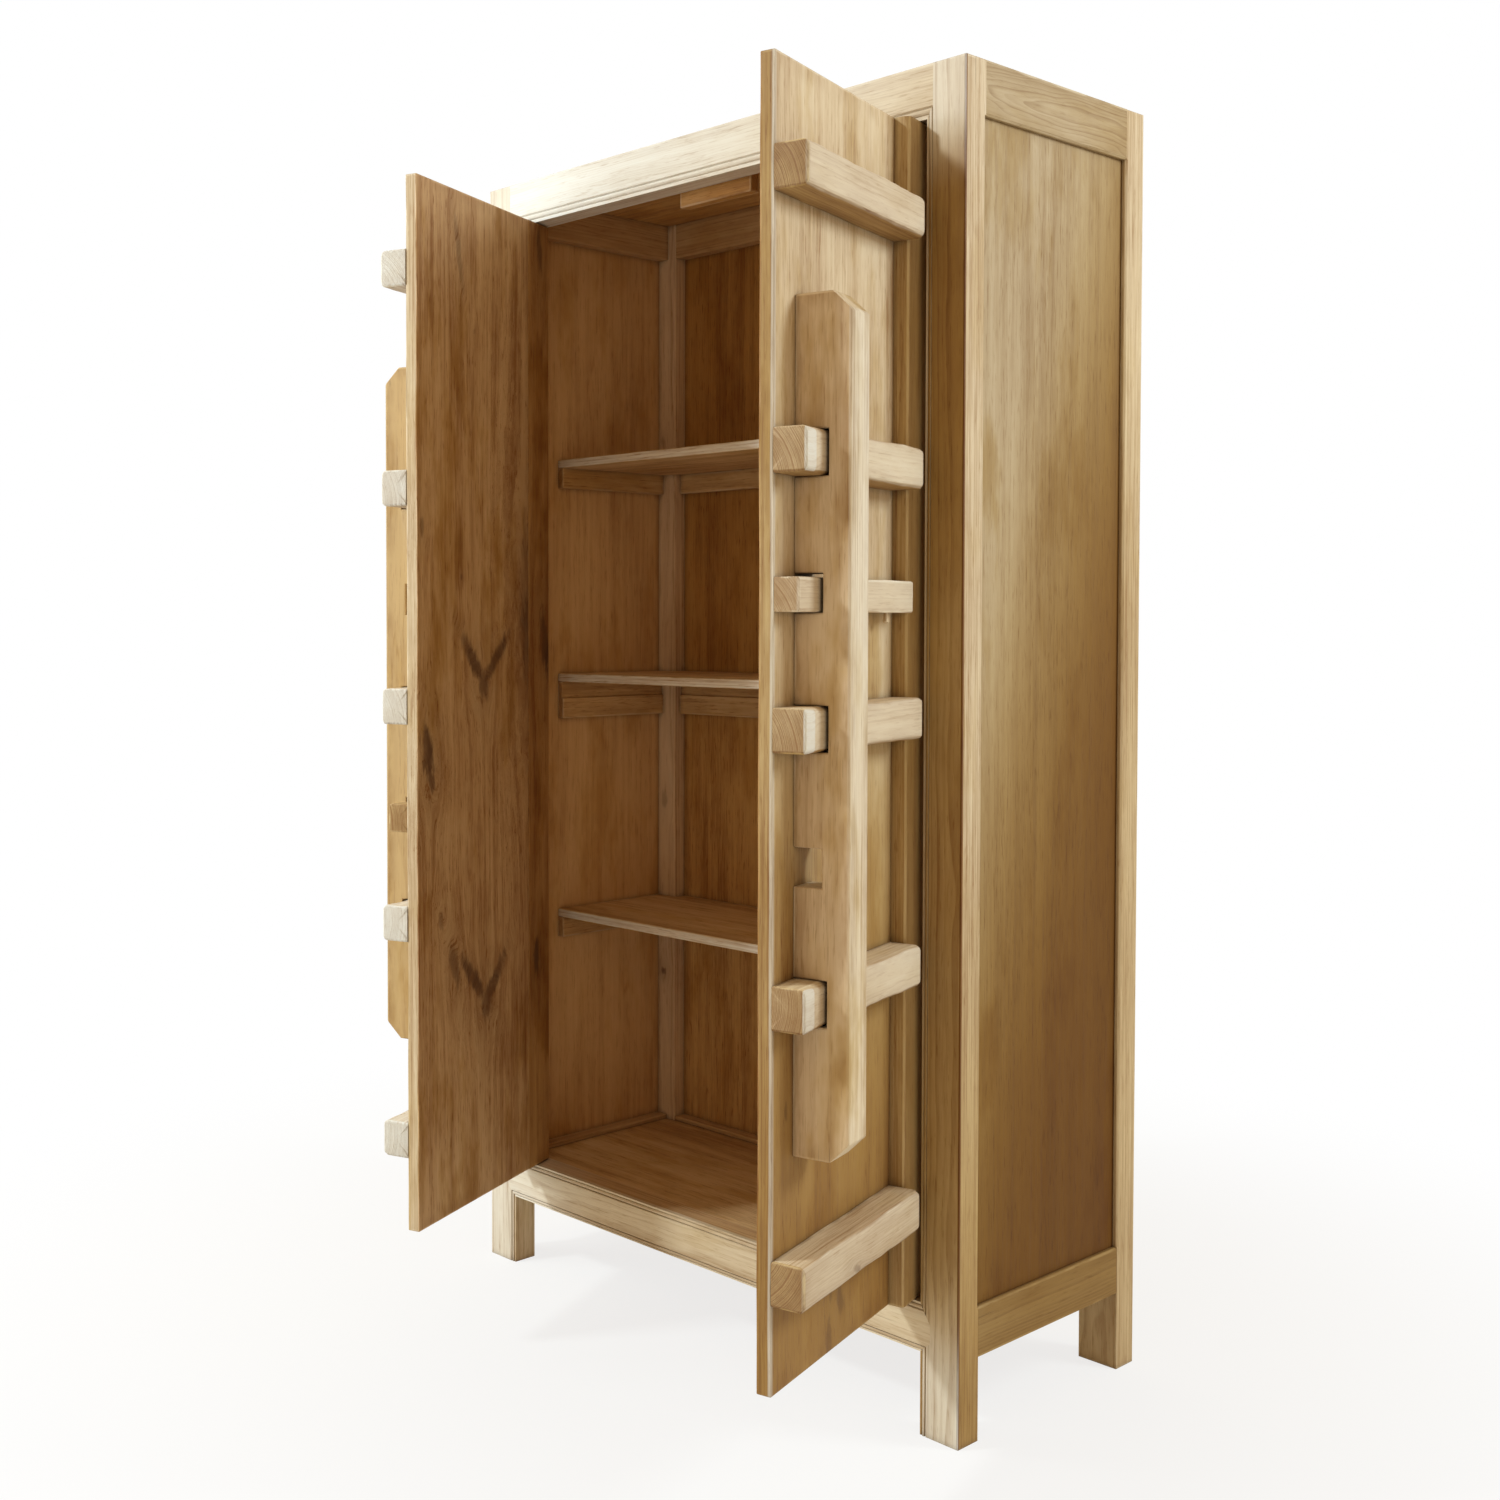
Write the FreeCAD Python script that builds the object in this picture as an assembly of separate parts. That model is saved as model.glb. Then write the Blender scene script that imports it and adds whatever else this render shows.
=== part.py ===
"""Trastero cabinet: a tall framed cupboard with two batten doors on wooden pivot pins.

Millimetres. X runs to the right, Y to the back and Z up. The origin lies on the floor, in the middle of the
four legs' outline. Each piece of wood is one solid. The doors stand open, as the cabinet is shown.
"""
import FreeCAD
import Part
import math
import os

Vector = FreeCAD.Vector

# Outer size of the carcass
carcass_width = 1060.0
carcass_depth = 470.0
carcass_height = 2000.0

# Posts and rails
post_width = 68.0
post_depth = 48.0
top_rail_height = 78.0
bottom_rail_height = 73.0
leg_clear_height = 124.0
frame_edge_ease = 3.0

# Tenons that join the rails to the posts
tenon_thickness = 15.0
tenon_length = 25.0
tenon_from_face = 14.0
tenon_end_margin = 12.0
front_tenon_reach = 34.0
sill_tenon_height = 20.0
joint_clearance = 0.1

# Bead moulding round the door opening and along the legs
header_bead_width = 18.0
post_bead_width = 11.0
sill_bead_width = 12.0
skirt_bead_width = 10.0
sill_mitre_reach = 18.0
sill_mitre_drop = 29.0
quirk_depth = 2.6
lip_drop = 1.4
lip_share = 0.20
quirk_share = 0.14

# Panels held in the frames
panel_thickness = 12.0
panel_recess = 9.0
back_panel_recess = 8.0
panel_tongue = 8.0
panel_clearance = 0.2
top_panel_thickness = 12.0
floor_thickness = 14.0
floor_drop = 9.0

# Shelves and the bearers under them
shelf_thickness = 16.0
shelf_setback = 150.0
shelf_side_gap = 0.5
shelf_nosing_ease = 2.0
upper_shelf_top = 1508.0
middle_shelf_top = 1098.0
lower_shelf_top = 643.0
bearer_thickness = 14.0
bearer_height = 38.0
middle_bearer_height = 70.0
bearer_step = 4.0

# Block that stops both doors
stop_block_length = 160.0
stop_block_thickness = 20.0
stop_block_hang = 25.0
stop_block_grip = 45.0
door_stop_gap = 0.5

# Doors: fit in the opening
right_door_angle = 104.6
left_door_angle = 69.1
door_end_gap = 2.5
door_face_setback = 2.0
hinge_edge_gap = 2.0
meeting_gap = 3.0

# Hinge stile and pivot pins
stile_width = 81.0
stile_thickness = 44.0
pivot_from_hinge_edge = 22.0
pivot_from_face = 11.0
hinge_edge_radius = 12.0
stile_back_ease = 4.0
stile_arris_ease = 3.0
stile_taper_length = 120.0
stile_taper_cut = 9.0
pin_diameter = 14.0
pin_reach = 18.0
pin_grip = 40.0
pin_running_clearance = 0.08
pin_seat_gap = 0.3
pin_top_gap = 1.0
pin_tip_ease = 1.5

# Door board
board_thickness = 21.0
board_tongue_length = 10.0
board_tongue_thickness = 8.0
board_edge_ease = 2.0

# Battens across the outer face
batten_height = 60.0
batten_thickness = 48.0
batten_spacing = 356.0
batten_edge_radius = 5.0
batten_end_ease = 5.0
batten_tenon_length = 30.0
batten_tenon_thickness = 14.0
batten_tenon_inset = 7.0
batten_tenon_shoulder = 8.0

# Lock board on edge, notched over the three middle battens
lock_board_width = 56.0
lock_board_depth = 80.0
lock_board_setback = 61.0
lock_board_overhang = 205.0
lock_board_corner_cut = 27.0
lock_board_edge_ease = 2.5
mortise_depth = 40.0
mortise_height = 51.0
mortise_drop = 2.5

# Sliding bolts
bolt_length = 366.0
bolt_thickness = 36.0
bolt_height = 46.0
bolt_tail_gap = 9.0
bolt_side_gap = 0.4
bolt_rest_gap = 0.3
bolt_end_ease = 3.0
bolt_edge_ease = 1.5
peg_from_tail = 55.0
peg_diameter = 9.0
peg_hang = 14.0
peg_tip_ease = 2.0

# One overrun serves every cut
overrun = 5.0

# Planes and places worked out from the sizes above
half_width = carcass_width / 2
half_depth = carcass_depth / 2
opening_half = half_width - post_width
front_face = -half_depth
post_inner_y = half_depth - post_depth
rail_thickness = door_face_setback + stile_thickness + door_stop_gap
rail_back = front_face + rail_thickness
side_rail_inner = half_width - rail_thickness
header_bottom = carcass_height - top_rail_height
sill_top = leg_clear_height + bottom_rail_height
side_panel_outer = half_width - panel_recess
side_panel_inner = side_panel_outer - panel_thickness
back_panel_outer = half_depth - back_panel_recess
back_panel_inner = back_panel_outer - panel_thickness
floor_top = sill_top - floor_drop
shelf_front = front_face + shelf_setback

pivot_x = opening_half - hinge_edge_gap - pivot_from_hinge_edge
pivot_y = front_face + door_face_setback + pivot_from_face
door_bottom = sill_top + door_end_gap
door_top = header_bottom - door_end_gap
door_middle = (door_bottom + door_top) / 2
door_reach = pivot_x - meeting_gap / 2

stile_outer = pivot_from_face
stile_inner = pivot_from_face - stile_thickness
stile_side = stile_width - pivot_from_hinge_edge
board_face = stile_inner + board_thickness
batten_face = board_face + batten_thickness
lock_side = door_reach - lock_board_setback
lock_back_side = lock_side - lock_board_width
lock_face = board_face + lock_board_depth
lock_half = batten_spacing + lock_board_overhang
bolt_tail = stile_side + bolt_tail_gap

z_axis = Vector(0, 0, 1)
x_axis = Vector(1, 0, 0)
origin = Vector(0, 0, 0)
half_turn = 180.0


def block(x0, x1, y0, y1, z0, z1):
    """A box between two corners."""
    return Part.makeBox(x1 - x0, y1 - y0, z1 - z0, Vector(x0, y0, z0))


def prism(corners, travel):
    """A straight-sided outline, pushed along a vector."""
    face = Part.Face(Part.makePolygon(corners + corners[:1]))
    return face.extrude(travel)


def mirror_x(shape):
    """The same piece on the other side of the cabinet."""
    return shape.mirror(origin, x_axis)


def moulding_waste(width, edge_point, across, inward, run):
    """Wood that the moulding plane takes from a front edge: a bead between two quirks, then a lower lip.

    edge_point is the start of the moulded edge, across points from the edge into the face, inward points from
    the face into the wood, and run is the vector along the edge.
    """
    lip = width * lip_share
    quirk = width * quirk_share

    def place(from_edge, depth):
        return edge_point + across * from_edge + inward * depth

    outer_quirk = place(width - quirk, quirk_depth)
    bead_top = place((width + lip) / 2, 0)
    inner_quirk = place(lip + quirk, quirk_depth)
    edges = [
        Part.makeLine(place(width, 0), outer_quirk),
        Part.Arc(outer_quirk, bead_top, inner_quirk).toShape(),
        Part.makeLine(inner_quirk, place(lip, lip_drop)),
        Part.makeLine(place(lip, lip_drop), place(-overrun, lip_drop)),
        Part.makeLine(place(-overrun, lip_drop), place(-overrun, -overrun)),
        Part.makeLine(place(-overrun, -overrun), place(width, -overrun)),
        Part.makeLine(place(width, -overrun), place(width, 0)),
    ]
    return Part.Face(Part.Wire(edges)).extrude(run)


def header_outline():
    """Front view of the header on the right half, with its mitred bead corner."""
    shoulder = opening_half + post_bead_width
    return [
        (0, header_bottom),
        (opening_half, header_bottom),
        (shoulder, header_bottom + header_bead_width),
        (shoulder, carcass_height),
        (0, carcass_height),
    ]


def sill_shoulder_levels():
    """Lower and upper ends of the bottom rail's shoulder, where its two mitres stop."""
    rise = sill_mitre_reach * skirt_bead_width / post_bead_width
    return leg_clear_height + rise, sill_top - sill_mitre_drop


def sill_outline():
    """Front view of the bottom rail on the right half, mitred at its upper and lower bead corners."""
    shoulder = opening_half + sill_mitre_reach
    low, high = sill_shoulder_levels()
    return [
        (0, leg_clear_height),
        (opening_half, leg_clear_height),
        (shoulder, low),
        (shoulder, high),
        (opening_half, sill_top),
        (0, sill_top),
    ]


def front_slab(outline):
    """A front rail's outline and its mirror image, as thick as the rail."""
    corners = [Vector(x, front_face, z) for x, z in outline]
    right = prism(corners, Vector(0, rail_thickness, 0))
    return right.fuse(mirror_x(right)).removeSplitter()


def rail_tenon(shoulder, z0, z1):
    """The right-hand tenon of a front rail, between two heights."""
    y0 = front_face + tenon_from_face
    return block(shoulder, opening_half + front_tenon_reach, y0, y0 + tenon_thickness, z0, z1)


def grown(box, amount):
    """A box solid that is larger by a clearance on every side, for its mortise."""
    bounds = box.BoundBox
    return block(
        bounds.XMin - amount, bounds.XMax + amount,
        bounds.YMin - amount, bounds.YMax + amount,
        bounds.ZMin - amount, bounds.ZMax + amount)


def header_tenon():
    """The header's tenon, held below the post's top."""
    z0 = header_bottom + header_bead_width + tenon_end_margin
    return rail_tenon(opening_half + post_bead_width, z0, carcass_height - tenon_end_margin)


def sill_tenon():
    """The bottom rail's tenon."""
    low, high = sill_shoulder_levels()
    z0 = (low + high - sill_tenon_height) / 2
    return rail_tenon(opening_half + sill_mitre_reach, z0, z0 + sill_tenon_height)


def back_rail_tenon(z0, z1):
    """The right-hand tenon of a back rail."""
    y1 = half_depth - tenon_from_face
    return block(
        opening_half, opening_half + tenon_length, y1 - tenon_thickness, y1,
        z0 + tenon_end_margin, z1 - tenon_end_margin)


def side_rail_tenon(z0, z1, sign):
    """A tenon of a right side rail, at its front end for sign -1 and at its back end for sign 1."""
    x0 = side_rail_inner + tenon_from_face
    ends = sorted([sign * post_inner_y, sign * (post_inner_y + tenon_length)])
    return block(
        x0, x0 + tenon_thickness, ends[0], ends[1],
        z0 + tenon_end_margin, z1 - tenon_end_margin)


def pin_socket(z0, z1):
    """The round socket for a right-hand pivot pin, in the header or the sill."""
    radius = pin_diameter / 2 + pin_running_clearance
    return Part.makeCylinder(radius, z1 - z0, Vector(pivot_x, pivot_y, z0), z_axis)


def side_panel_solid(clearance):
    """The right side panel with its tongues, or the space that the frame leaves for it."""
    reach = post_inner_y + panel_tongue + clearance
    return block(
        side_panel_inner - clearance, side_panel_outer + clearance, -reach, reach,
        sill_top - panel_tongue - clearance, header_bottom + panel_tongue + clearance)


def back_panel_solid(clearance):
    """The back panel with its tongues, or the space that the frame leaves for it."""
    reach = opening_half + panel_tongue + clearance
    return block(
        -reach, reach, back_panel_inner - clearance, back_panel_outer + clearance,
        sill_top - panel_tongue - clearance, header_bottom + panel_tongue + clearance)


def notched_plate(z0, z1, clearance):
    """A plate let into the four rails, with its corners cut out round the posts."""
    reach_x = side_rail_inner + panel_tongue + clearance
    reach_y = -rail_back + panel_tongue + clearance
    plate = block(-reach_x, reach_x, -reach_y, reach_y, z0, z1)
    notch_x = opening_half - panel_clearance + clearance
    notch_y = post_inner_y - panel_clearance + clearance
    for sign in (-1, 1):
        y0, y1 = sorted([sign * notch_y, sign * (reach_y + overrun)])
        corner = block(notch_x, reach_x + overrun, y0, y1, z0 - overrun, z1 + overrun)
        plate = plate.cut(corner).cut(mirror_x(corner))
    return plate


def top_panel_solid(clearance):
    """The top, level with the rails."""
    return notched_plate(carcass_height - top_panel_thickness - clearance, carcass_height, clearance)


def floor_panel_solid(clearance):
    """The floor, a little lower than the sill."""
    return notched_plate(floor_top - floor_thickness - clearance, floor_top + clearance, clearance)


def front_right_post():
    """A front post with the bead on its inner edge, cut back for the rails' mitred beads."""
    post = block(opening_half, half_width, front_face, -post_inner_y, 0, carcass_height)
    start = Vector(opening_half, front_face, -overrun)
    run = Vector(0, 0, carcass_height + 2 * overrun)
    post = post.cut(moulding_waste(post_bead_width, start, x_axis, Vector(0, 1, 0), run))
    through = Vector(0, rail_thickness, 0)
    for outline in (header_outline(), sill_outline()):
        post = post.cut(prism([Vector(x, front_face, z) for x, z in outline], through))
    for tenon in (header_tenon(), sill_tenon()):
        post = post.cut(grown(tenon, joint_clearance))
    for low, high in side_rail_levels():
        post = post.cut(grown(side_rail_tenon(low, high, -1), joint_clearance))
    post = post.cut(side_panel_solid(panel_clearance))
    return ease_panel_edge(post, -1)


def back_right_post():
    """A back post, grooved for the side panel and the back panel."""
    post = block(opening_half, half_width, post_inner_y, half_depth, 0, carcass_height)
    for low, high in side_rail_levels():
        post = post.cut(grown(side_rail_tenon(low, high, 1), joint_clearance))
        post = post.cut(grown(back_rail_tenon(low, high), joint_clearance))
    post = post.cut(side_panel_solid(panel_clearance)).cut(back_panel_solid(panel_clearance))
    return ease_panel_edge(post, 1)


def side_rail_levels():
    """Lower and upper edges of the bottom and top rails."""
    return [(leg_clear_height, sill_top), (header_bottom, carcass_height)]


def ease_panel_edge(post, sign):
    """Take the sharp corner off a right post where it borders the side panel."""
    y = sign * post_inner_y
    corners = [
        Vector(half_width + overrun, y + sign * (frame_edge_ease + overrun), sill_top),
        Vector(half_width + overrun, y - sign * overrun, sill_top),
        Vector(half_width - frame_edge_ease - overrun, y - sign * overrun, sill_top),
    ]
    return post.cut(prism(corners, Vector(0, 0, header_bottom - sill_top)))


def front_top_rail():
    """The header: mitred bead along its lower edge, pin sockets, and a rebate for the top."""
    rail = front_slab(header_outline())
    reach = opening_half + post_bead_width + overrun
    start = Vector(-reach, front_face, header_bottom)
    rail = rail.cut(moulding_waste(header_bead_width, start, z_axis, Vector(0, 1, 0), Vector(2 * reach, 0, 0)))
    socket = pin_socket(header_bottom - overrun, door_top + pin_reach + pin_top_gap)
    tenon = header_tenon()
    rail = rail.fuse(tenon).fuse(mirror_x(tenon))
    return rail.cut(socket).cut(mirror_x(socket)).cut(top_panel_solid(0))


def front_bottom_rail():
    """The sill: beads along both edges, pin sockets, and a groove for the floor."""
    rail = front_slab(sill_outline())
    reach = opening_half + sill_mitre_reach + overrun
    run = Vector(2 * reach, 0, 0)
    inward = Vector(0, 1, 0)
    upper_start = Vector(-reach, front_face, sill_top)
    lower_start = Vector(-reach, front_face, leg_clear_height)
    rail = rail.cut(moulding_waste(sill_bead_width, upper_start, Vector(0, 0, -1), inward, run))
    rail = rail.cut(moulding_waste(skirt_bead_width, lower_start, z_axis, inward, run))
    socket = pin_socket(door_bottom - pin_reach - pin_seat_gap, sill_top + overrun)
    tenon = sill_tenon()
    rail = rail.fuse(tenon).fuse(mirror_x(tenon))
    return rail.cut(socket).cut(mirror_x(socket)).cut(floor_panel_solid(panel_clearance))


def back_rail(z0, z1):
    """A back rail between the back posts, grooved or rebated for what it holds."""
    rail = block(-opening_half, opening_half, -rail_back, half_depth, z0, z1)
    tenon = back_rail_tenon(z0, z1)
    rail = rail.fuse(tenon).fuse(mirror_x(tenon)).cut(back_panel_solid(panel_clearance))
    return rail.cut(top_panel_solid(0)).cut(floor_panel_solid(panel_clearance))


def right_side_rail(z0, z1, panel_edge, panel_side):
    """A right side rail. panel_side is 1 where the panel lies above the rail and -1 where it lies below."""
    rail = block(side_rail_inner, half_width, -post_inner_y, post_inner_y, z0, z1)
    for sign in (-1, 1):
        rail = rail.fuse(side_rail_tenon(z0, z1, sign))
    rail = rail.cut(side_panel_solid(panel_clearance))
    rail = rail.cut(top_panel_solid(0)).cut(floor_panel_solid(panel_clearance))
    corners = [
        Vector(half_width + overrun, -post_inner_y, panel_edge - panel_side * (frame_edge_ease + overrun)),
        Vector(half_width + overrun, -post_inner_y, panel_edge + panel_side * overrun),
        Vector(half_width - frame_edge_ease - overrun, -post_inner_y, panel_edge + panel_side * overrun),
    ]
    return rail.cut(prism(corners, Vector(0, 2 * post_inner_y, 0)))


def shelf(top):
    """A shelf board, notched round the back posts, with an eased front edge."""
    half = side_panel_inner - shelf_side_gap
    back = back_panel_inner - shelf_side_gap
    board = block(-half, half, shelf_front, back, top - shelf_thickness, top)
    notch = block(
        opening_half - shelf_side_gap, half + overrun, post_inner_y - shelf_side_gap, back + overrun,
        top - shelf_thickness - overrun, top + overrun)
    board = board.cut(notch).cut(mirror_x(notch))
    front_edges = [
        edge for edge in board.Edges
        if abs(edge.CenterOfMass.y - shelf_front) < joint_clearance and edge.Length > shelf_setback]
    return board.makeChamfer(shelf_nosing_ease, front_edges)


def right_bearer(top, height):
    """A side bearer on the right panel, from the shelf's front to the back post. A tall one is stepped."""
    underside = top - shelf_thickness
    face = side_panel_inner - bearer_thickness
    strip = block(face, side_panel_inner, shelf_front, post_inner_y, underside - height, underside)
    step = block(
        face - overrun, face + bearer_step, shelf_front - overrun, post_inner_y + overrun,
        underside - height + bearer_height, underside + overrun)
    return strip.cut(step)


def back_bearer(top, height):
    """The bearer on the back panel, between the back posts, stepped like the side ones."""
    underside = top - shelf_thickness
    face = back_panel_inner - bearer_thickness
    strip = block(-opening_half, opening_half, face, back_panel_inner, underside - height, underside)
    step = block(
        -opening_half - overrun, opening_half + overrun, face - overrun, face + bearer_step,
        underside - height + bearer_height, underside + overrun)
    return strip.cut(step)


def door_stop_block():
    """The block on the header's back that hangs below it at the middle."""
    half = stop_block_length / 2
    return block(
        -half, half, rail_back, rail_back + stop_block_thickness,
        header_bottom - stop_block_hang, header_bottom + stop_block_grip)


def batten_level(number):
    """Middle height of a batten, counted from -2 at the bottom to 2 at the top."""
    return door_middle + number * batten_spacing


def bolt_level(number):
    """Middle height of a mortise, 1 between the upper battens and -1 between the lower ones."""
    return door_middle + number * batten_spacing / 2 - mortise_drop


def batten_tenon(number):
    """The tenon by which a batten enters the hinge stile."""
    half = batten_height / 2 - batten_tenon_shoulder
    n0 = board_face + batten_tenon_inset
    level = batten_level(number)
    return block(
        stile_side - batten_tenon_length, stile_side, n0, n0 + batten_tenon_thickness,
        level - half, level + half)


def board_tongue(clearance):
    """The tongue along the door board's hinge edge, or the groove for it."""
    middle = (stile_inner + board_face) / 2
    half = board_tongue_thickness / 2 + clearance
    return block(
        stile_side - board_tongue_length - clearance, stile_side, middle - half, middle + half,
        door_bottom, door_top)


def pivot_pin_solids():
    """The lower and upper pivot pins, each with an eased tip."""
    length = pin_reach + pin_grip
    pins = []
    for low, tip in ((door_bottom - pin_reach, 0), (door_top - pin_grip, length)):
        pin = Part.makeCylinder(pin_diameter / 2, length, Vector(0, 0, low), z_axis)
        tip_edges = [edge for edge in pin.Edges if abs(edge.CenterOfMass.z - low - tip) < joint_clearance]
        pins.append(pin.makeChamfer(pin_tip_ease, tip_edges))
    return pins


def hinge_stile():
    """The thick stile: rounded hinge edge, tapered arris at the top, and holes for pins, battens and board."""
    hinge_edge = -pivot_from_hinge_edge
    stile = block(hinge_edge, stile_side, stile_inner, stile_outer, door_bottom, door_top)
    stile = stile.makeFillet(hinge_edge_radius, upright_edges(stile, hinge_edge, stile_outer))
    stile = stile.makeChamfer(stile_back_ease, upright_edges(stile, hinge_edge, stile_inner))
    stile = stile.makeChamfer(stile_arris_ease, upright_edges(stile, stile_side, stile_outer))
    taper = [
        Vector(stile_side - stile_taper_cut, stile_outer + overrun, door_top),
        Vector(stile_side + overrun, stile_outer + overrun, door_top),
        Vector(stile_side + overrun, stile_outer - stile_taper_cut - overrun, door_top),
    ]
    foot = Vector(stile_side + overrun, stile_outer + overrun, door_top - stile_taper_length)
    stile = stile.cut(corner_wedge(taper, foot))
    for pin in pivot_pin_solids():
        stile = stile.cut(pin)
    for number in range(-2, 3):
        stile = stile.cut(grown(batten_tenon(number), joint_clearance))
    return stile.cut(board_tongue(joint_clearance))


def upright_edges(shape, u, n):
    """The straight vertical edge of a door piece at one corner of its plan."""
    return [
        edge for edge in shape.Edges
        if abs(edge.CenterOfMass.x - u) < joint_clearance
        and abs(edge.CenterOfMass.y - n) < joint_clearance
        and edge.Length > board_thickness]


def corner_wedge(top_corners, foot):
    """A wedge with a triangular top that runs down to a point."""
    sides = [
        Part.Face(Part.makePolygon([top_corners[i], top_corners[i - 1], foot, top_corners[i]]))
        for i in range(len(top_corners))]
    lid = Part.Face(Part.makePolygon(top_corners + top_corners[:1]))
    return Part.makeSolid(Part.makeShell(sides + [lid]))


def door_board():
    """The plain board with its tongue, eased along its meeting edge."""
    board = block(stile_side, door_reach, stile_inner, board_face, door_bottom, door_top)
    for n in (stile_inner, board_face):
        board = board.makeChamfer(board_edge_ease, upright_edges(board, door_reach, n))
    return board.fuse(board_tongue(0))


def batten(number):
    """One batten with a rounded outer face, eased ends and its tenon."""
    half = batten_height / 2
    level = batten_level(number)
    bar = block(stile_side, door_reach, board_face, batten_face, level - half, level + half)
    long_edges = [
        edge for edge in bar.Edges
        if abs(edge.CenterOfMass.y - batten_face) < joint_clearance and edge.Length > batten_spacing / 2]
    bar = bar.makeFillet(batten_edge_radius, long_edges)
    for end, sign in ((stile_side, -1), (door_reach, 1)):
        corners = [
            Vector(end + sign * overrun, batten_face - batten_end_ease - overrun, level - half),
            Vector(end + sign * overrun, batten_face + overrun, level - half),
            Vector(end - sign * (batten_end_ease + overrun), batten_face + overrun, level - half),
        ]
        bar = bar.cut(prism(corners, Vector(0, 0, batten_height)))
    return bar.fuse(batten_tenon(number))


def lock_board():
    """The board on edge: cut corners, notches for three battens, and two through mortises."""
    low = door_middle - lock_half
    high = door_middle + lock_half
    outline = [
        Vector(lock_back_side, board_face, low),
        Vector(lock_back_side, lock_face - lock_board_corner_cut, low),
        Vector(lock_back_side, lock_face, low + lock_board_corner_cut),
        Vector(lock_back_side, lock_face, high - lock_board_corner_cut),
        Vector(lock_back_side, lock_face - lock_board_corner_cut, high),
        Vector(lock_back_side, board_face, high),
    ]
    board = prism(outline, Vector(lock_board_width, 0, 0))
    for u in (lock_back_side, lock_side):
        board = board.makeChamfer(lock_board_edge_ease, upright_edges(board, u, lock_face))
    for number in (-1, 0, 1):
        board = board.cut(batten_notch(number))
    for number in (-1, 1):
        board = board.cut(mortise(number))
    return board


def batten_notch(number):
    """The notch by which the lock board sits over a batten."""
    half = batten_height / 2 + joint_clearance
    level = batten_level(number)
    return block(
        lock_back_side - overrun, lock_side + overrun, board_face - overrun, batten_face + joint_clearance,
        level - half, level + half)


def mortise(number):
    """A through mortise for a bolt, open towards the door board."""
    half = mortise_height / 2
    level = bolt_level(number)
    return block(
        lock_back_side - overrun, lock_side + overrun, board_face - overrun, board_face + mortise_depth,
        level - half, level + half)


def bolt_box(number):
    """The bolt's bar, lying in the foot of its mortise."""
    n0 = board_face + bolt_side_gap
    z0 = bolt_level(number) - mortise_height / 2 + bolt_rest_gap
    return block(bolt_tail, bolt_tail + bolt_length, n0, n0 + bolt_thickness, z0, z0 + bolt_height)


def peg_cylinder(number, clearance):
    """The peg through the bolt near its tail, or the hole for it."""
    bar = bolt_box(number).BoundBox
    centre = Vector(bolt_tail + peg_from_tail, (bar.YMin + bar.YMax) / 2, bar.ZMin - peg_hang)
    return Part.makeCylinder(peg_diameter / 2 + clearance, bolt_height + peg_hang, centre, z_axis)


def bolt(number):
    """A sliding bolt with eased edges and a hole for its peg."""
    bar = bolt_box(number)
    end = bolt_tail + bolt_length
    rim = [edge for edge in bar.Edges if abs(edge.CenterOfMass.x - end) < joint_clearance]
    bar = bar.makeChamfer(bolt_end_ease, rim)
    lengthwise = [edge for edge in bar.Edges if edge.Length > bolt_length / 2]
    bar = bar.makeChamfer(bolt_edge_ease, lengthwise)
    return bar.cut(peg_cylinder(number, 0))


def bolt_peg(number):
    """The peg, with an eased lower tip."""
    peg = peg_cylinder(number, 0)
    low = peg.BoundBox.ZMin
    tip_edges = [edge for edge in peg.Edges if abs(edge.CenterOfMass.z - low) < joint_clearance]
    return peg.makeChamfer(peg_tip_ease, tip_edges)


def on_door(shape, angle, side):
    """Set a door piece on its pivot, swung open. Door pieces are drawn with the pivot at the origin, X towards
    the meeting edge and Y out of the outer face."""
    placed = shape.copy()
    placed.rotate(origin, z_axis, half_turn + angle)
    placed.translate(Vector(pivot_x, pivot_y, 0))
    return mirror_x(placed) if side == "left" else placed


def carcass_pieces():
    """Posts, rails, panels, top and floor."""
    pieces = {
        "front_right_post": front_right_post(),
        "back_right_post": back_right_post(),
        "right_bottom_rail": right_side_rail(leg_clear_height, sill_top, sill_top, 1),
        "right_top_rail": right_side_rail(header_bottom, carcass_height, header_bottom, -1),
        "right_side_panel": side_panel_solid(0),
    }
    for name in list(pieces):
        pieces[name.replace("right", "left")] = mirror_x(pieces[name])
    pieces["front_top_rail"] = front_top_rail()
    pieces["front_bottom_rail"] = front_bottom_rail()
    pieces["back_top_rail"] = back_rail(header_bottom, carcass_height)
    pieces["back_bottom_rail"] = back_rail(leg_clear_height, sill_top)
    pieces["back_panel"] = back_panel_solid(0)
    pieces["top_panel"] = top_panel_solid(0)
    pieces["floor_panel"] = floor_panel_solid(0)
    pieces["door_stop_block"] = door_stop_block()
    return pieces


def shelf_pieces():
    """Three shelves, each on three bearers."""
    levels = (
        ("upper", upper_shelf_top, bearer_height),
        ("middle", middle_shelf_top, middle_bearer_height),
        ("lower", lower_shelf_top, bearer_height),
    )
    pieces = {}
    for name, top, height in levels:
        side_bearer = right_bearer(top, height)
        pieces[name + "_shelf"] = shelf(top)
        pieces[name + "_shelf_right_bearer"] = side_bearer
        pieces[name + "_shelf_left_bearer"] = mirror_x(side_bearer)
        pieces[name + "_shelf_back_bearer"] = back_bearer(top, height)
    return pieces


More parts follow.
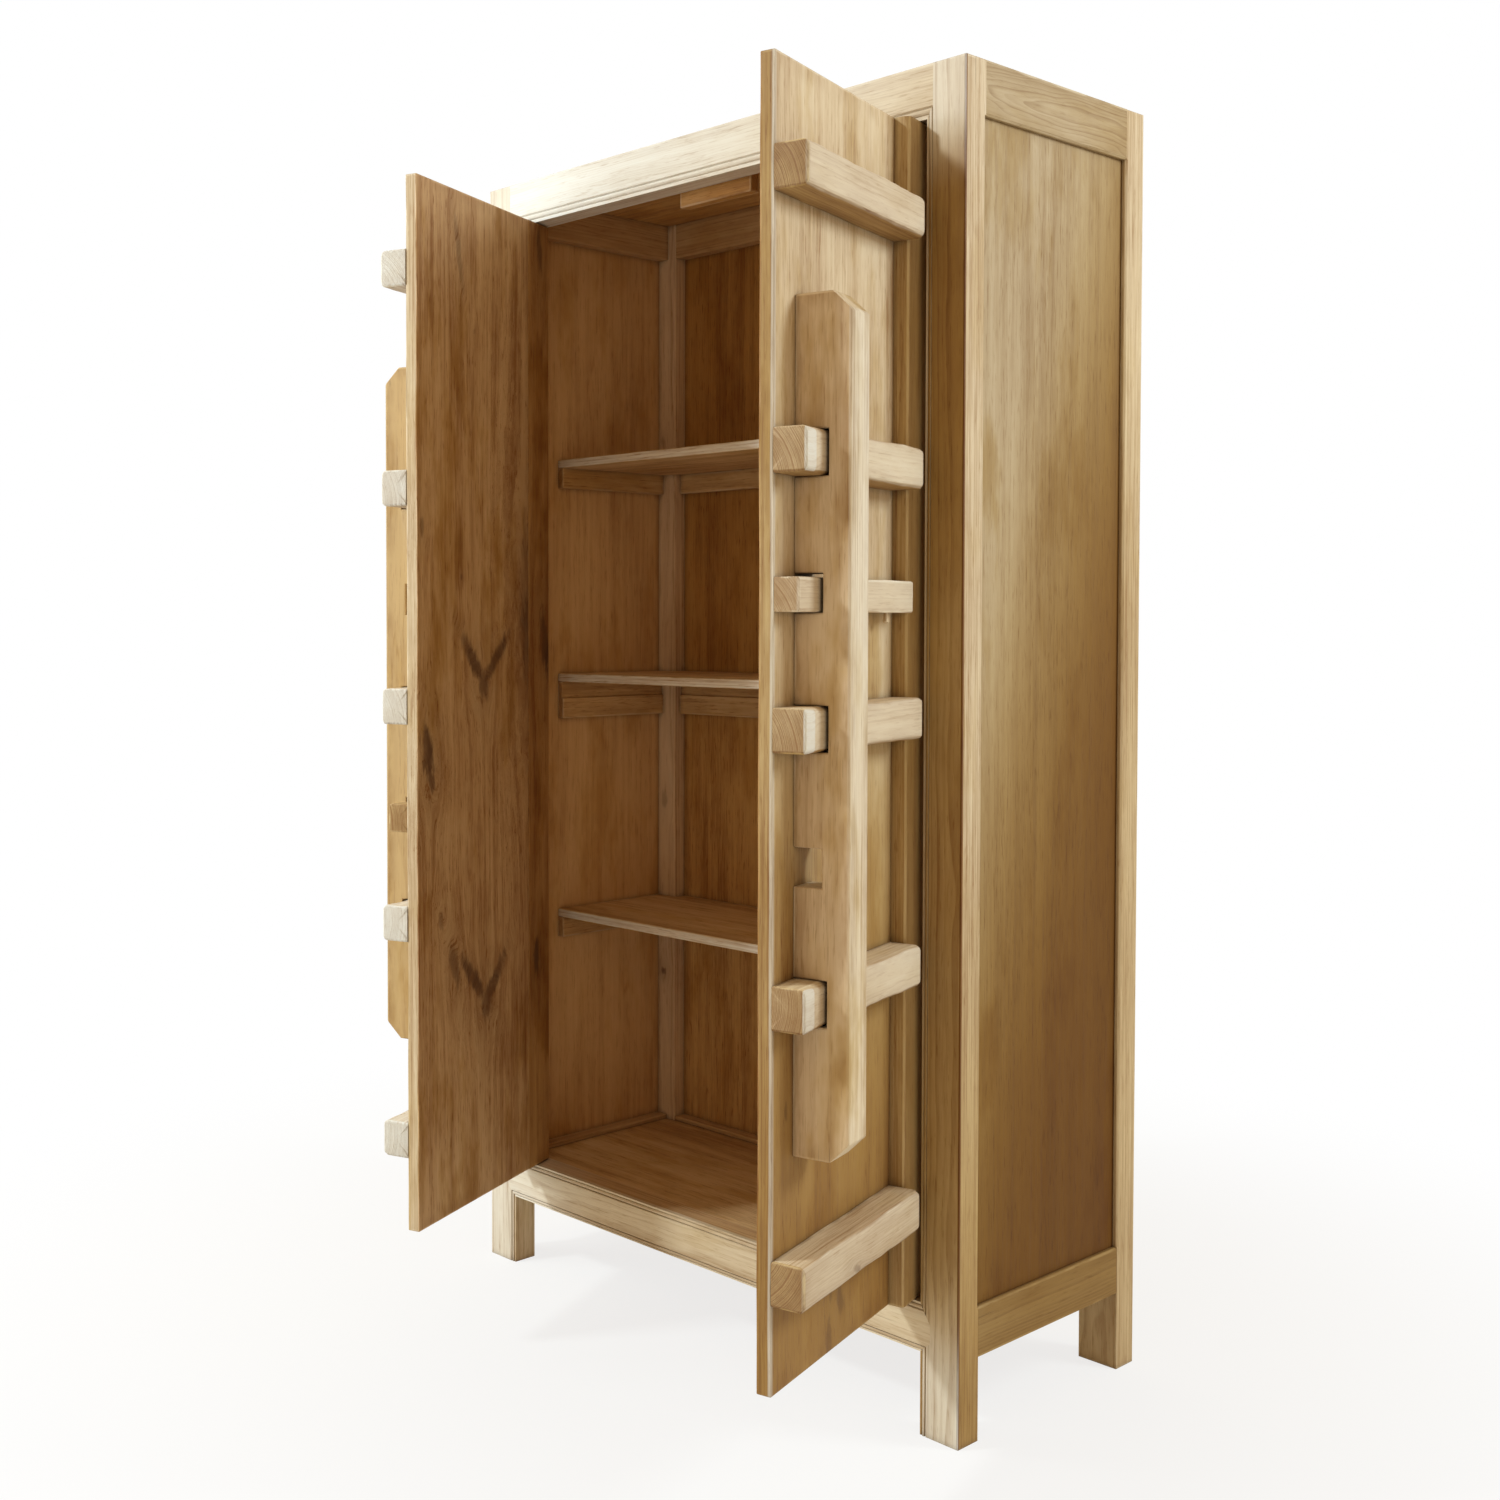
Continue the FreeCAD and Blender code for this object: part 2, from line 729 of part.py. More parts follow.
def door_pieces(side, angle, bolt_number):
    """All pieces of one door, with its bolt in the upper mortise for 1 and the lower one for -1."""
    pieces = {
        "door_board": door_board(),
        "hinge_stile": hinge_stile(),
        "pivot_pins": Part.makeCompound(pivot_pin_solids()),
        "lock_board": lock_board(),
        "bolt": bolt(bolt_number),
        "bolt_peg": bolt_peg(bolt_number),
    }
    for number, level in enumerate(("bottom", "lower", "middle", "upper", "top"), start=-2):
        pieces[level + "_batten"] = batten(number)
    return {side + "_" + name: on_door(shape, angle, side) for name, shape in pieces.items()}


def main():
    """Write one file for each piece."""
    os.makedirs("parts", exist_ok=True)
    pieces = carcass_pieces()
    pieces.update(shelf_pieces())
    pieces.update(door_pieces("right", right_door_angle, 1))
    pieces.update(door_pieces("left", left_door_angle, -1))
    for name, shape in sorted(pieces.items()):
        shape.exportStep("parts/" + name + ".step")
        print(name, len(shape.Solids), "valid" if shape.isValid() else "NOT VALID", round(shape.Volume))


main()
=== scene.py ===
"""The looks of a trastero cabinet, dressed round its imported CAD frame.

The timber is a solid pattern: each board carries growth rings round a pith line of its own,
so its faces show straight or arched grain and its ends show rings.
"""

import math

import bpy
import numpy as np
from bpy.props import FloatProperty, FloatVectorProperty, PointerProperty
from mathutils import Matrix, Vector


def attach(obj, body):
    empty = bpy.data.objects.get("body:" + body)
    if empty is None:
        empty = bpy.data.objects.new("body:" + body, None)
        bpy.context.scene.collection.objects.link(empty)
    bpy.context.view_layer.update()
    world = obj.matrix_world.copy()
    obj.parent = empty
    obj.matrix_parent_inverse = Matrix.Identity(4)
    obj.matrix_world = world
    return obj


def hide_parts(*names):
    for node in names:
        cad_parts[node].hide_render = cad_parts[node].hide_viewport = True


bl_info = {
    "name": "Trastero Cabinet",
    "version": (1, 0, 0),
    "blender": (4, 5, 0),
    "location": "3D View > Sidebar > Trastero",
    "description": "Dresses a trastero cabinet with worn timber and sets its studio",
    "category": "Object",
}

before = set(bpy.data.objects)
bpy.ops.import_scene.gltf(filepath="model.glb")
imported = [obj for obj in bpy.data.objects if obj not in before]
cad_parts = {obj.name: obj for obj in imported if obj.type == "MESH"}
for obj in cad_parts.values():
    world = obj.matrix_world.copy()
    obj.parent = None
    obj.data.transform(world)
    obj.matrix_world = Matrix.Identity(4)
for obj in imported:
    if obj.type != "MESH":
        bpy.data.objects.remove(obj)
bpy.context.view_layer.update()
MILLIMETRE = 0.001

# How far each door stands open at rest.
DOOR_TURN = {"right": math.radians(-75.4), "left": math.radians(-69.1)}
UP = Vector((0, 0, 1))


def srgb(red, green, blue):
    """A colour written in 0 to 255 screen numbers, as the linear light that shaders work in."""
    shares = np.array([red, green, blue]) / 255
    linear = np.where(shares <= 0.04045, shares / 12.92, ((shares + 0.055) / 1.055) ** 2.4)
    return tuple(float(v) for v in linear)


def put(name, data):
    """A new object in the scene."""
    piece = bpy.data.objects.new(name, data)
    bpy.context.scene.collection.objects.link(piece)
    return piece


def colour(name, description, *rgb):
    """A colour that a user can change."""
    return FloatVectorProperty(name=name, description=description, default=srgb(*rgb),
                               min=0, max=1, subtype="COLOR")


def length(name, description, default):
    """A length that a user can change, in metres."""
    return FloatProperty(name=name, description=description, default=default,
                         min=0, unit="LENGTH", subtype="DISTANCE")


def amount(name, description, default, top=4.0):
    """A plain number that a user can change."""
    return FloatProperty(name=name, description=description, default=default, min=0, max=top)


class TrasteroTimber(bpy.types.PropertyGroup):
    """Colours of the timber. The three shades of each kind of board are added from SHADES."""
    # The inner tints make faces inside browner, partly as darker inner wood and partly as painted
    # shade
    hidden_tint: colour("Inner face tint", "Tint of the faces that look inside", 240, 216, 186)
    wall_tint: colour("Inner wall tint", "Tint of the left wall inside", 255, 227, 190)
    back_tint: colour("Back tint", "Tint of the back and the ceiling inside", 240, 205, 150)
    # Tint of the painted shade, of the stains and of the random clouds
    stain_tint: colour("Stain tint", "Tint of boards where they have darkened", 146, 107, 44)
    # Colour of the painted light, where boards are painted paler as the lamps light them
    bleached: colour("Bleached", "Wood that the sun has bleached", 226, 226, 219)
    worn: colour("Worn arris", "Bare wood where an edge is rubbed", 246, 234, 206)
    knot_colour: colour("Knot", "Heart of a knot", 84, 52, 26)
    # Also the colour of the painted shade in corners and where boards meet
    crack_colour: colour("Crack", "Dirt in cracks and along joints", 70, 44, 22)


# Where each kind of wood is, then its pale, middle and dark shade.
SHADES = {
    "frame": ("posts and rails", (233, 220, 192), (212, 192, 159), (160, 126, 84)),
    "panel": ("the side panels", (200, 184, 154), (181, 160, 127), (150, 123, 86)),
    "door": ("the doors", (230, 216, 186), (209, 187, 152), (156, 118, 74)),
    "lock": ("the lock boards", (236, 224, 198), (221, 203, 173), (164, 130, 86)),
    "inside": ("the boards inside", (216, 174, 116), (200, 154, 92), (150, 102, 54)),
    "shelf": ("the shelves", (222, 190, 142), (206, 168, 116), (160, 118, 70)),
}
for kind, (where, *shades) in SHADES.items():
    for shade, rgb in zip(("pale", "mid", "dark"), shades):
        TrasteroTimber.__annotations__[f"{kind}_{shade}"] = colour(
            f"{kind} {shade}".capitalize(), f"The {shade} streaks of {where}", *rgb)


class TrasteroWear(bpy.types.PropertyGroup):
    """Sizes of the wear on the boards' edges."""
    frame_arris: length("Frame arris", "Rounding on the edges of posts and rails", 0.0012)
    panel_arris: length("Panel arris", "Rounding on the edges of thin boards", 0.0006)
    door_arris: length("Door arris", "Rounding on the edges of the lock boards", 0.002)
    bar_arris: length("Bar arris", "Rounding along the battens", 0.009)
    bar_end: length("Bar end", "Rounding at the battens' ends", 0.003)
    bar_wander: length("Bar wander", "How uneven the battens' faces are", 0.0012)
    bar_waist: length("Bar waist", "Depth of a batten's hollow beside the lock board", 0.003)
    edge_wander: length("Edge wander", "How uneven the doors' free edges are", 0.003)
    rubbed_width: length("Rubbed width", "How far wear reaches in from an edge", 0.005)


class TrasteroStage(bpy.types.PropertyGroup):
    """Lamps, floor and the light that comes from all round."""
    floor: colour("Floor", "Pale studio floor", 226, 223, 216)
    floor_glow: amount("Floor glow", "How far the floor near the cabinet is kept white", 0.78, 1.0)
    all_round: amount("All round", "Light from the room itself", 0.6)
    room_tint: colour("Room tint", "Colour of the room's light", 255, 230, 192)
    lamp_tint: colour("Lamp tint", "Colour of the lamps", 232, 246, 255)
    right_lamp: amount("Right lamp", "Power of the soft lamp at the right, in watts", 76, 2000)
    front_lamp: amount("Front lamp", "Power of the lamp high at the front, in watts", 335, 2000)
    left_lamp: amount("Left lamp", "Power of the soft lamp at the left, in watts", 30, 2000)


# Node helpers


class Tree:
    """A node tree with short ways to add and join nodes."""

    def __init__(self, tree):
        self.tree = tree

    def add(self, kind, **settings):
        """A new node of that kind. Settings that the node has are set; the rest name its inputs."""
        node = self.tree.nodes.new(kind if kind.startswith("NodeGroup") else "ShaderNode" + kind)
        inputs = {}
        for key, value in settings.items():
            if hasattr(node, key):
                setattr(node, key, value)
            else:
                inputs[key] = value
        for key, value in inputs.items():
            self.feed(node, key, value)
        return node

    def feed(self, node, key, value):
        """Sets an input to a constant, or joins it to another node's output."""
        socket = node.inputs[int(key[3:])] if key.startswith("in_") else node.inputs[key]
        if isinstance(value, bpy.types.NodeSocket):
            self.tree.links.new(value, socket)
        else:
            socket.default_value = value

    def math(self, operation, *values, clamp=False):
        """The result of one sum."""
        settings = {f"in_{i}": v for i, v in enumerate(values)}
        return self.add("Math", operation=operation, use_clamp=clamp, **settings).outputs[0]

    def chain(self, operation, values, clamp):
        """The values taken together one after the other. Only the last result is clamped."""
        total = values[0]
        for i in range(1, len(values)):
            total = self.math(operation, total, values[i], clamp=clamp and i == len(values) - 1)
        return total

    def plus(self, *values, clamp=False):
        return self.chain("ADD", values, clamp)

    def times(self, *values, clamp=False):
        return self.chain("MULTIPLY", values, clamp)

    def minus(self, first, second, clamp=False):
        return self.math("SUBTRACT", first, second, clamp=clamp)

    def least(self, *values):
        return self.chain("MINIMUM", values, False)

    def most(self, *values):
        return self.chain("MAXIMUM", values, False)

    def split(self, vector):
        """The three parts of a vector."""
        return self.add("SeparateXYZ", Vector=vector).outputs

    def vector(self, operation, *values):
        """The result of one vector sum."""
        settings = {f"in_{i}": v for i, v in enumerate(values)}
        outputs = self.add("VectorMath", operation=operation, **settings).outputs
        return outputs["Value" if operation in ("LENGTH", "DOT_PRODUCT") else "Vector"]

    def ramp(self, value, low, high, start=0.0, end=1.0):
        """A smooth step from start at low to end at high."""
        return self.add("MapRange", interpolation_type="SMOOTHSTEP", in_0=value, in_1=low,
                        in_2=high, in_3=start, in_4=end).outputs["Result"]

    def noise(self, place, pattern):
        """Even noise of about 0 to 1, with the waves of a named pattern."""
        waves, detail, rough = NOISES[pattern]
        place = self.vector("MULTIPLY", place, waves)
        return self.add("TexNoise", Vector=place, Scale=1.0, Detail=detail,
                        Roughness=rough).outputs["Fac"]

    def swing(self, place, pattern):
        """Noise about 0."""
        return self.minus(self.noise(place, pattern), 0.5)

    def line_noise(self, value, pitch, detail):
        """Noise that depends on one number."""
        return self.add("TexNoise", noise_dimensions="1D", W=self.times(value, pitch),
                        Scale=1.0, Detail=detail).outputs["Fac"]

    def mix(self, share, first, second, blend="MIX"):
        """A blend of two colours. With MULTIPLY the first one is multiplied by the second."""
        return self.add("Mix", data_type="RGBA", blend_type=blend, clamp_factor=True,
                        in_0=share, in_6=first, in_7=second).outputs[2]

    def behind_filter(self, share, first, filtering):
        """The first colour behind a filter of that share: first * filter ** share."""
        thick = self.add("Gamma", Color=filtering, Gamma=share).outputs["Color"]
        return self.mix(1.0, first, thick, "MULTIPLY")


# Timber patterns

# Noise patterns: waves in a metre across, through and along a board, then detail and roughness.
NOISES = {
    "slow": ((7, 7, 1.5), 3, 0.55),
    "curl": ((30, 30, 5), 2, 0.5),
    "fibre": ((950, 950, 16), 2, 0.6),
    "streak": ((90, 260, 2.6), 4, 0.72),
    "band": ((26, 26, 0.9), 3, 0.5),
    "blotch": ((5, 5, 2.4), 3, 0.55),
    "patch": ((34, 34, 13), 3, 0.6),
    "pore": ((420, 420, 30), 2, 0.6),
    "line": ((30, 230, 3.4), 3, 0.75),
    "crack": ((150, 150, 3.2), 2, 0.55),
    "cloud": ((11, 11, 3.6), 4, 0.62),
    "knot": ((110, 110, 30), 4, 0.65),
}
# Pairs such as these say where a smooth step begins and where it ends, here in metres from a face.
FACE_STEP, INNER_STEP, END_STEP = (0.0055, 0.0035), (0.003, 0.0005), (0.0016, 0.0004)

KNOT_INPUTS = {"Vector": ("Place", "Grain place", "Centre", "Seed"),
               "Float": ("Radius", "Mask", "Slant", "Stretch", "Strength", "Reach")}
TIMBER_INPUTS = {"Vector": ("Place", "Grain place", "Half", "Pith", "Seed"),
                 "Float": ("Knot", "Spacing", "Figure", "Streaks", "Blotches", "Cracks", "Rub",
                           "Rub width", "Rub share", "Grime", "Wave", "Hidden", "Stain", "Bleach",
                           "Clouds"),
                 "Color": ("Pale", "Mid", "Dark", "Worn", "Knot colour", "Crack colour",
                           "Hidden tint", "Stain tint", "Bleached")}


def blank_tree(owner):
    """The emptied node tree of a material or of the world."""
    owner.use_nodes = True
    owner.node_tree.nodes.clear()
    return Tree(owner.node_tree)


def new_group(name, inputs, outputs):
    """An empty node group with those sockets, and its inner input and output nodes."""
    group = bpy.data.node_groups.new(name, "ShaderNodeTree")
    for kind, labels in inputs.items():
        for label in labels:
            group.interface.new_socket(label, in_out="INPUT", socket_type="NodeSocket" + kind)
    for label, kind in outputs.items():
        group.interface.new_socket(label, in_out="OUTPUT", socket_type="NodeSocket" + kind)
    tree = Tree(group)
    return tree, tree.add("NodeGroupInput").outputs, tree.add("NodeGroupOutput")


def knot_group(depth=0.12, ragged=1.7, core=(1.35, 0.45), halo=0.3, pull=0.85):
    """A knot: its core is dark, and the grain is spread round it.

    Grain at a share k of its distance from the knot is read from nearer the knot by
    k times exp(-(distance / reach) squared), so the lines part and close again.
    """
    tree, given, out = new_group("knot", KNOT_INPUTS, {"Grain place": "Vector", "Mask": "Float"})
    radius = given["Radius"]
    apart = tree.split(tree.vector("SUBTRACT", given["Place"], given["Centre"]))
    sheared = tree.minus(apart["X"], tree.times(apart["Z"], given["Slant"]))
    flat = tree.add("CombineXYZ", X=sheared, Y=tree.times(apart["Y"], depth),
                    Z=tree.times(apart["Z"], given["Stretch"])).outputs["Vector"]
    rough = tree.swing(tree.vector("ADD", given["Place"], given["Seed"]), "knot")
    distance = tree.plus(tree.vector("LENGTH", flat), tree.times(rough, radius, ragged))
    share = tree.math("DIVIDE", distance, tree.times(radius, given["Reach"]))
    fade = tree.math("EXPONENT", tree.times(tree.math("POWER", share, 2.0), -1.0))
    moved = tree.add("CombineXYZ", X=tree.times(sheared, pull, fade)).outputs["Vector"]
    tree.feed(out, "Grain place", tree.vector("SUBTRACT", given["Grain place"], moved))
    dark = tree.ramp(distance, *(tree.times(radius, size) for size in core))
    mask = tree.times(tree.most(dark, tree.times(fade, halo)), given["Strength"])
    tree.feed(out, "Mask", tree.most(given["Mask"], mask))


def ring_share(tree, given, grain, curl=0.16, crowd_pitch=0.31, crowd=1.6, strength_pitch=0.93,
               strengths=(0.3, 0.7, 0.25, 1.0), late_wood=(0.25, 0.93), ring_end=(1.0, 0.94)):
    """How dark the growth rings are.

    Ring number = (distance from the pith + slow noise) / ring spacing, and its fraction
    darkens towards the end of each ring.
    """
    place, pith = tree.split(given["Grain place"]), tree.split(given["Pith"])
    across = tree.minus(tree.minus(place["X"], pith["X"]), tree.times(place["Z"], pith["Z"]))
    deep = tree.minus(place["Y"], pith["Y"])
    radius = tree.math("SQRT", tree.plus(tree.times(across, across), tree.times(deep, deep)))
    radius = tree.plus(radius, tree.times(tree.swing(grain, "slow"), given["Wave"]),
                       tree.times(tree.swing(grain, "curl"), given["Wave"], curl))
    number = tree.math("DIVIDE", radius, given["Spacing"])
    number = tree.plus(number, tree.times(tree.line_noise(number, crowd_pitch, 2.0), crowd))
    strength = tree.ramp(tree.line_noise(number, strength_pitch, 1.0), *strengths)
    part = tree.math("FRACT", number)
    return tree.times(tree.ramp(part, *late_wood), tree.ramp(part, *ring_end), strength)


def tone_share(tree, given, grain, gap, noises, ring, blotch=1.6, pores=(0.56, 0.7), line=1.4):
    """How pale the wood is, from 0 for dark through 0.5 to 1 for pale."""
    swing = tree.minus(noises["blotch"], 0.5)
    tone = tree.plus(0.5, tree.times(swing, given["Blotches"], blotch))
    for pattern, size in (("streak", 1.35), ("band", 1.25), ("fibre", 0.8), ("patch", 0.55)):
        swing = tree.minus(noises[pattern], 0.5)
        tone = tree.plus(tone, tree.times(swing, given["Streaks"], size))
    tone = tree.minus(tone, tree.times(ring, given["Figure"]))
    pore = tree.ramp(tree.noise(grain, "pore"), *pores)
    tone = tree.minus(tone, tree.times(pore, given["Streaks"], 0.45))
    # Tight lines on the narrow faces, where the rings are cut across
    narrow = tree.ramp(gap["X"], *FACE_STEP)
    return tree.plus(tone, tree.times(tree.swing(grain, "line"), narrow, line))


def crack_share(tree, given, grain, gap, least=0.76, sooner=0.05, slope=0.03, reach=0.14):
    """Cracks along the grain, more of them near the ends."""
    start = tree.minus(least, tree.times(tree.ramp(gap["Z"], reach, 0.0), sooner))
    crack = tree.ramp(tree.noise(grain, "crack"), start, tree.plus(start, slope))
    return tree.times(crack, given["Cracks"])


def edge_shares(tree, given, gap, patch, dirt_reach=(0.03, 0.002), dirty=(0.35, 0.7),
                least=0.25, core=0.35, rubbed=(0.33, 0.62)):
    """Dirt beside the board's edges, and bare rubbed wood on them.

    Edge distance = the middle one of the three distances from the point to the board's own box.
    """
    pair = tree.least(tree.most(gap["X"], gap["Y"]), gap["Z"])
    edge = tree.most(tree.least(gap["X"], gap["Y"]), pair)
    dirt = tree.times(tree.ramp(edge, *dirt_reach), tree.ramp(patch, *dirty))
    reach = tree.times(given["Rub width"], tree.plus(least, patch))
    rub = tree.ramp(edge, reach, tree.times(reach, core))
    return dirt, tree.times(rub, tree.ramp(patch, *rubbed), given["Rub share"])


def shaded_stained_and_lit(tree, given, place, noises, tone, shade, cloudy=(0.48, 0.74), painted_light_least=0.35):
    """The wood's colour with painted light and shade: faces inside are browner, partly as darker
    inner wood and partly as painted shade; painted shade, stains and random clouds darken it,
    and painted light makes it paler.
    """
    shade = tree.mix(given["Hidden"], shade, given["Hidden tint"], "MULTIPLY")
    uneven = tree.plus(0.5, tree.times(tree.plus(noises["blotch"], noises["streak"]), 0.5))
    # Painted shade and stains, uneven with the grain, and random clouds
    darkening = tree.times(given["Stain"], uneven)
    cloud = tree.times(tree.ramp(tree.noise(place, "cloud"), *cloudy), given["Clouds"])
    shade = tree.behind_filter(tree.plus(darkening, cloud), shade, given["Stain tint"])
    # Painted light: paler where the lamps fall strongest
    painted_light = tree.times(given["Bleach"], tree.plus(painted_light_least, tone), clamp=True)
    return tree.mix(painted_light, shade, given["Bleached"])


def timber_group():
    """Solid timber: growth rings round a pith line along local Z, fibres, blotches, cracks,
    rubbed edges and end grain, with painted light and painted shade."""
    tree, given, out = new_group("timber", TIMBER_INPUTS,
                                 {"Color": "Color", "Roughness": "Float", "Height": "Float"})
    place = tree.vector("ADD", given["Place"], given["Seed"])
    grain = tree.vector("ADD", given["Grain place"], given["Seed"])
    inside = tree.vector("ABSOLUTE", given["Place"])
    gap = tree.split(tree.vector("SUBTRACT", given["Half"], inside))
    noises = {pattern: tree.noise(grain, pattern) for pattern in ("fibre", "streak", "band")}
    noises.update({pattern: tree.noise(place, pattern) for pattern in ("blotch", "patch")})
    fibre, streak, patch = noises["fibre"], noises["streak"], noises["patch"]
    ring = ring_share(tree, given, grain)
    tone = tone_share(tree, given, grain, gap, noises, ring)
    shade = tree.mix(tree.times(tone, 2.0, clamp=True), given["Dark"], given["Mid"])
    shade = tree.mix(tree.minus(tree.times(tone, 2.0), 1.0, clamp=True), shade, given["Pale"])
    crack = crack_share(tree, given, grain, gap)
    # End grain is darker, since it drinks the stain
    drink = tree.plus(tree.times(ring, 0.65), tree.times(patch, 0.8), clamp=True)
    drink = tree.times(tree.ramp(gap["Z"], *END_STEP), drink)
    dirt, rub = edge_shares(tree, given, gap, patch)
    layers = ((tree.times(crack, 0.85), "Crack colour"), (drink, "Dark"),
              (tree.times(dirt, given["Grime"]), "Dark"), (tree.times(rub, given["Rub"]), "Worn"))
    for share, label in layers:
        shade = tree.mix(share, shade, given[label])
    shade = shaded_stained_and_lit(tree, given, place, noises, tone, shade)
    # Painted shade: boards darken in corners and where they meet, by ambient occlusion
    corner = tree.add("AmbientOcclusion", samples=5, only_local=False, Distance=0.016)
    contact_shade = tree.ramp(corner.outputs["AO"], 0.8, 0.25)
    shade = tree.mix(tree.times(contact_shade, 0.6), shade, given["Crack colour"])
    broken = tree.plus(tree.times(patch, 0.8), tree.times(streak, 0.9))
    shade = tree.mix(tree.times(given["Knot"], broken, clamp=True), shade, given["Knot colour"])
    tree.feed(out, "Color", shade)
    # Rubbed wood and late wood are smoother, and cracks and end grain lie deeper
    rough = tree.minus(tree.plus(0.6, tree.times(fibre, 0.2)), tree.times(rub, 0.12))
    tree.feed(out, "Roughness", tree.minus(rough, tree.times(ring, 0.08)))
    height = tree.plus(tree.times(fibre, 0.35), tree.times(streak, 0.5))
    height = tree.minus(height, tree.times(crack, 1.5))
    tree.feed(out, "Height", tree.minus(height, drink))


# Boards

# What each kind of board looks like: its colours, its arris, and these numbers.
LOOK_NUMBERS = ("spacing", "figure", "streaks", "blotches", "cracks", "rub", "grime", "wave",
                "clouds")
KINDS = {
    "frame": ("frame", "frame_arris", 0.004, 0.24, 0.46, 0.45, 0.4, 0.35, 0.4, 0.022, 0.1),
    "panel": ("panel", "panel_arris", 0.012, 0.1, 0.68, 0.4, 0.08, 0.0, 0.4, 0.03, 0.2),
    "inside": ("inside", "panel_arris", 0.008, 0.16, 0.9, 0.6, 0.35, 0.25, 0.5, 0.03, 0.2),
    "door": ("door", "panel_arris", 0.009, 0.16, 0.5, 0.45, 0.2, 0.4, 0.35, 0.04, 0.1),
    "lock": ("lock", "door_arris", 0.006, 0.12, 0.4, 0.7, 0.35, 0.75, 0.6, 0.03, 0.3),
    "bar": ("door", "door_arris", 0.0023, 0.14, 0.32, 0.5, 0.4, 0.95, 0.35, 0.008, 0.12),
}
# How a surface bends light: dull wood on the right side, and the rest.
DULL, GLOSSY = 1.3, 1.45
# How far a knot spreads the grain, in radii: an upright one, and one that slants steeply.
KNOT_REACH = (2.6, 1.5)
DOOR_WORDS = ("stile", "board", "batten", "pins", "bolt", "peg")
SIDE_RAILS = ("left_top_rail", "left_bottom_rail", "right_top_rail", "right_bottom_rail")

# Knots: across the board and along its grain from its middle, in millimetres, then the radius,
# how far it slants, how much it is shortened along the grain, and how dark it is.
KNOTS = {
    "left_door_board": (
        (53, 214, 4, 0, 0.6, 0.8), (164, -74, 21, 0.1, 0.4, 1), (152, -122, 12, 0.2, 0.5, 0.85),
        (8, 632, 5, 0, 0.8, 0.35), (179, 292, 7, 0, 0.35, 0.6), (15, 74, 20, 0.74, 0.4, 1),
        (-62, 72, 20, -0.95, 0.4, 1), (-22, 32, 20, 0, 0.6, 0.85), (14, -476, 21, 0.85, 0.42, 1.1),
        (-58, -488, 20, -0.8, 0.42, 1.05), (-30, -524, 20, 0, 0.6, 1),
        (78, -440, 16, 0.3, 0.35, 0.8), (60, 760, 10, 0.2, 0.14, 0.5), (121, -360, 8, 0, 0.5, 0.6),
        (-178, 110, 26, 0.1, 0.25, 0.9), (-176, 200, 30, 0, 0.2, 0.5)),
    "left_hinge_stile": ((-20, 99, 18, 0.15, 0.25, 1), (-2, 808, 12, 0.1, 0.25, 0.85),
                         (13, -477, 14, 0, 0.35, 0.9)),
    "back_left_post": ((3, -512, 8, 0, 0.9, 0.8), (-2, 560, 7, 0, 0.5, 0.4),
                       (4, -160, 9, 0, 0.4, 0.45)),
    "back_panel": ((-250, -372, 5, 0, 0.7, 0.6), (180, 400, 6, 0, 0.8, 0.4)),
    "right_bottom_batten": ((-20, 40, 6, 0.3, 0.4, 0.5),),
    "right_door_board": ((60, 690, 5, 0, 0.6, 0.3), (-16, -798, 13, 0.2, 0.5, 0.6),
                         (19, -766, 8, 0.3, 0.3, 0.5), (19, -848, 9, 0, 0.22, 0.55),
                         (152, -498, 5, 0, 0.3, 0.6), (129, -427, 4, 0, 0.15, 0.7)),
}

LEVELS = ("upper", "middle", "lower")
# Boards that differ from their kind.
OWN_LOOK = {
    "right_top_rail": dict(colours="panel", spacing=0.0024, figure=0.4, wave=0.045),
    "right_bottom_rail": dict(colours="panel", figure=0.3),
    "front_top_rail": dict(spacing=0.0028, figure=0.16, wave=0.03),
    "left_door_board": dict(spacing=0.013, figure=0.12, hidden=0.9,
                            inner=dict(streaks=0.95, blotches=0.85, clouds=0.4)),
    "left_hinge_stile": dict(figure=0.12, inner=dict(streaks=0.85, blotches=0.9, clouds=0.45)),
    # On the lock boards the hidden share is painted shade on their narrow sides
    "left_lock_board": dict(hidden=0.25),
    "right_lock_board": dict(hidden=0.5),
    "back_left_post": dict(colours="lock", hidden=0.9, tint="wall_tint"),
    "left_side_panel": dict(colours="frame", tint="wall_tint", streaks=0.45, blotches=0.3),
    "right_door_board": dict(streaks=0.5, figure=0.1, blotches=0.6, clouds=0.2),
    "back_panel": dict(colours="frame", tint="back_tint"),
    "top_panel": dict(colours="frame", tint="back_tint"),
    "floor_panel": dict(colours="shelf"),
    **{f"{level}_shelf": dict(colours="shelf", rub=0.5) for level in LEVELS},
    **{f"{level}_shelf_{side}_bearer": dict(colours="shelf")
       for level in LEVELS for side in ("left", "back", "right")},
}


def kind_of(name):
    """The kind of finish that a CAD board has."""
    last = name.split("_")[-1]
    if "lock_board" in name:
        return "lock"
    if name.startswith(("right_", "left_")) and last in DOOR_WORDS:
        return "door" if last in ("stile", "board") else "bar"
    if "side_panel" in name:
        return "panel"
    if "post" in name or "rail" in name:
        return "frame"
    return "inside"


def door_turn(name):
    """How far the board's door is turned at rest, or None for a board of the carcass."""
    first, *_, last = name.split("_")
    return DOOR_TURN.get(first) if last in DOOR_WORDS else None


def door_axis(name):
    """The way that the board's door runs at rest, or the X axis for a board of the carcass."""
    turn = door_turn(name) or 0
    return Vector((math.cos(turn), math.sin(turn), 0))


def grain_of(name):
    """The direction that a board's fibres run in, at rest."""
    on_door = ("stile", "board", "pins", "peg")
    upright = on_door if door_turn(name) else ("post", "side_panel", "back_panel")
    if any(word in name for word in upright):
        return UP
    if name in SIDE_RAILS or name.endswith(("left_bearer", "right_bearer")):
        return Vector((0, 1, 0))
    return door_axis(name)


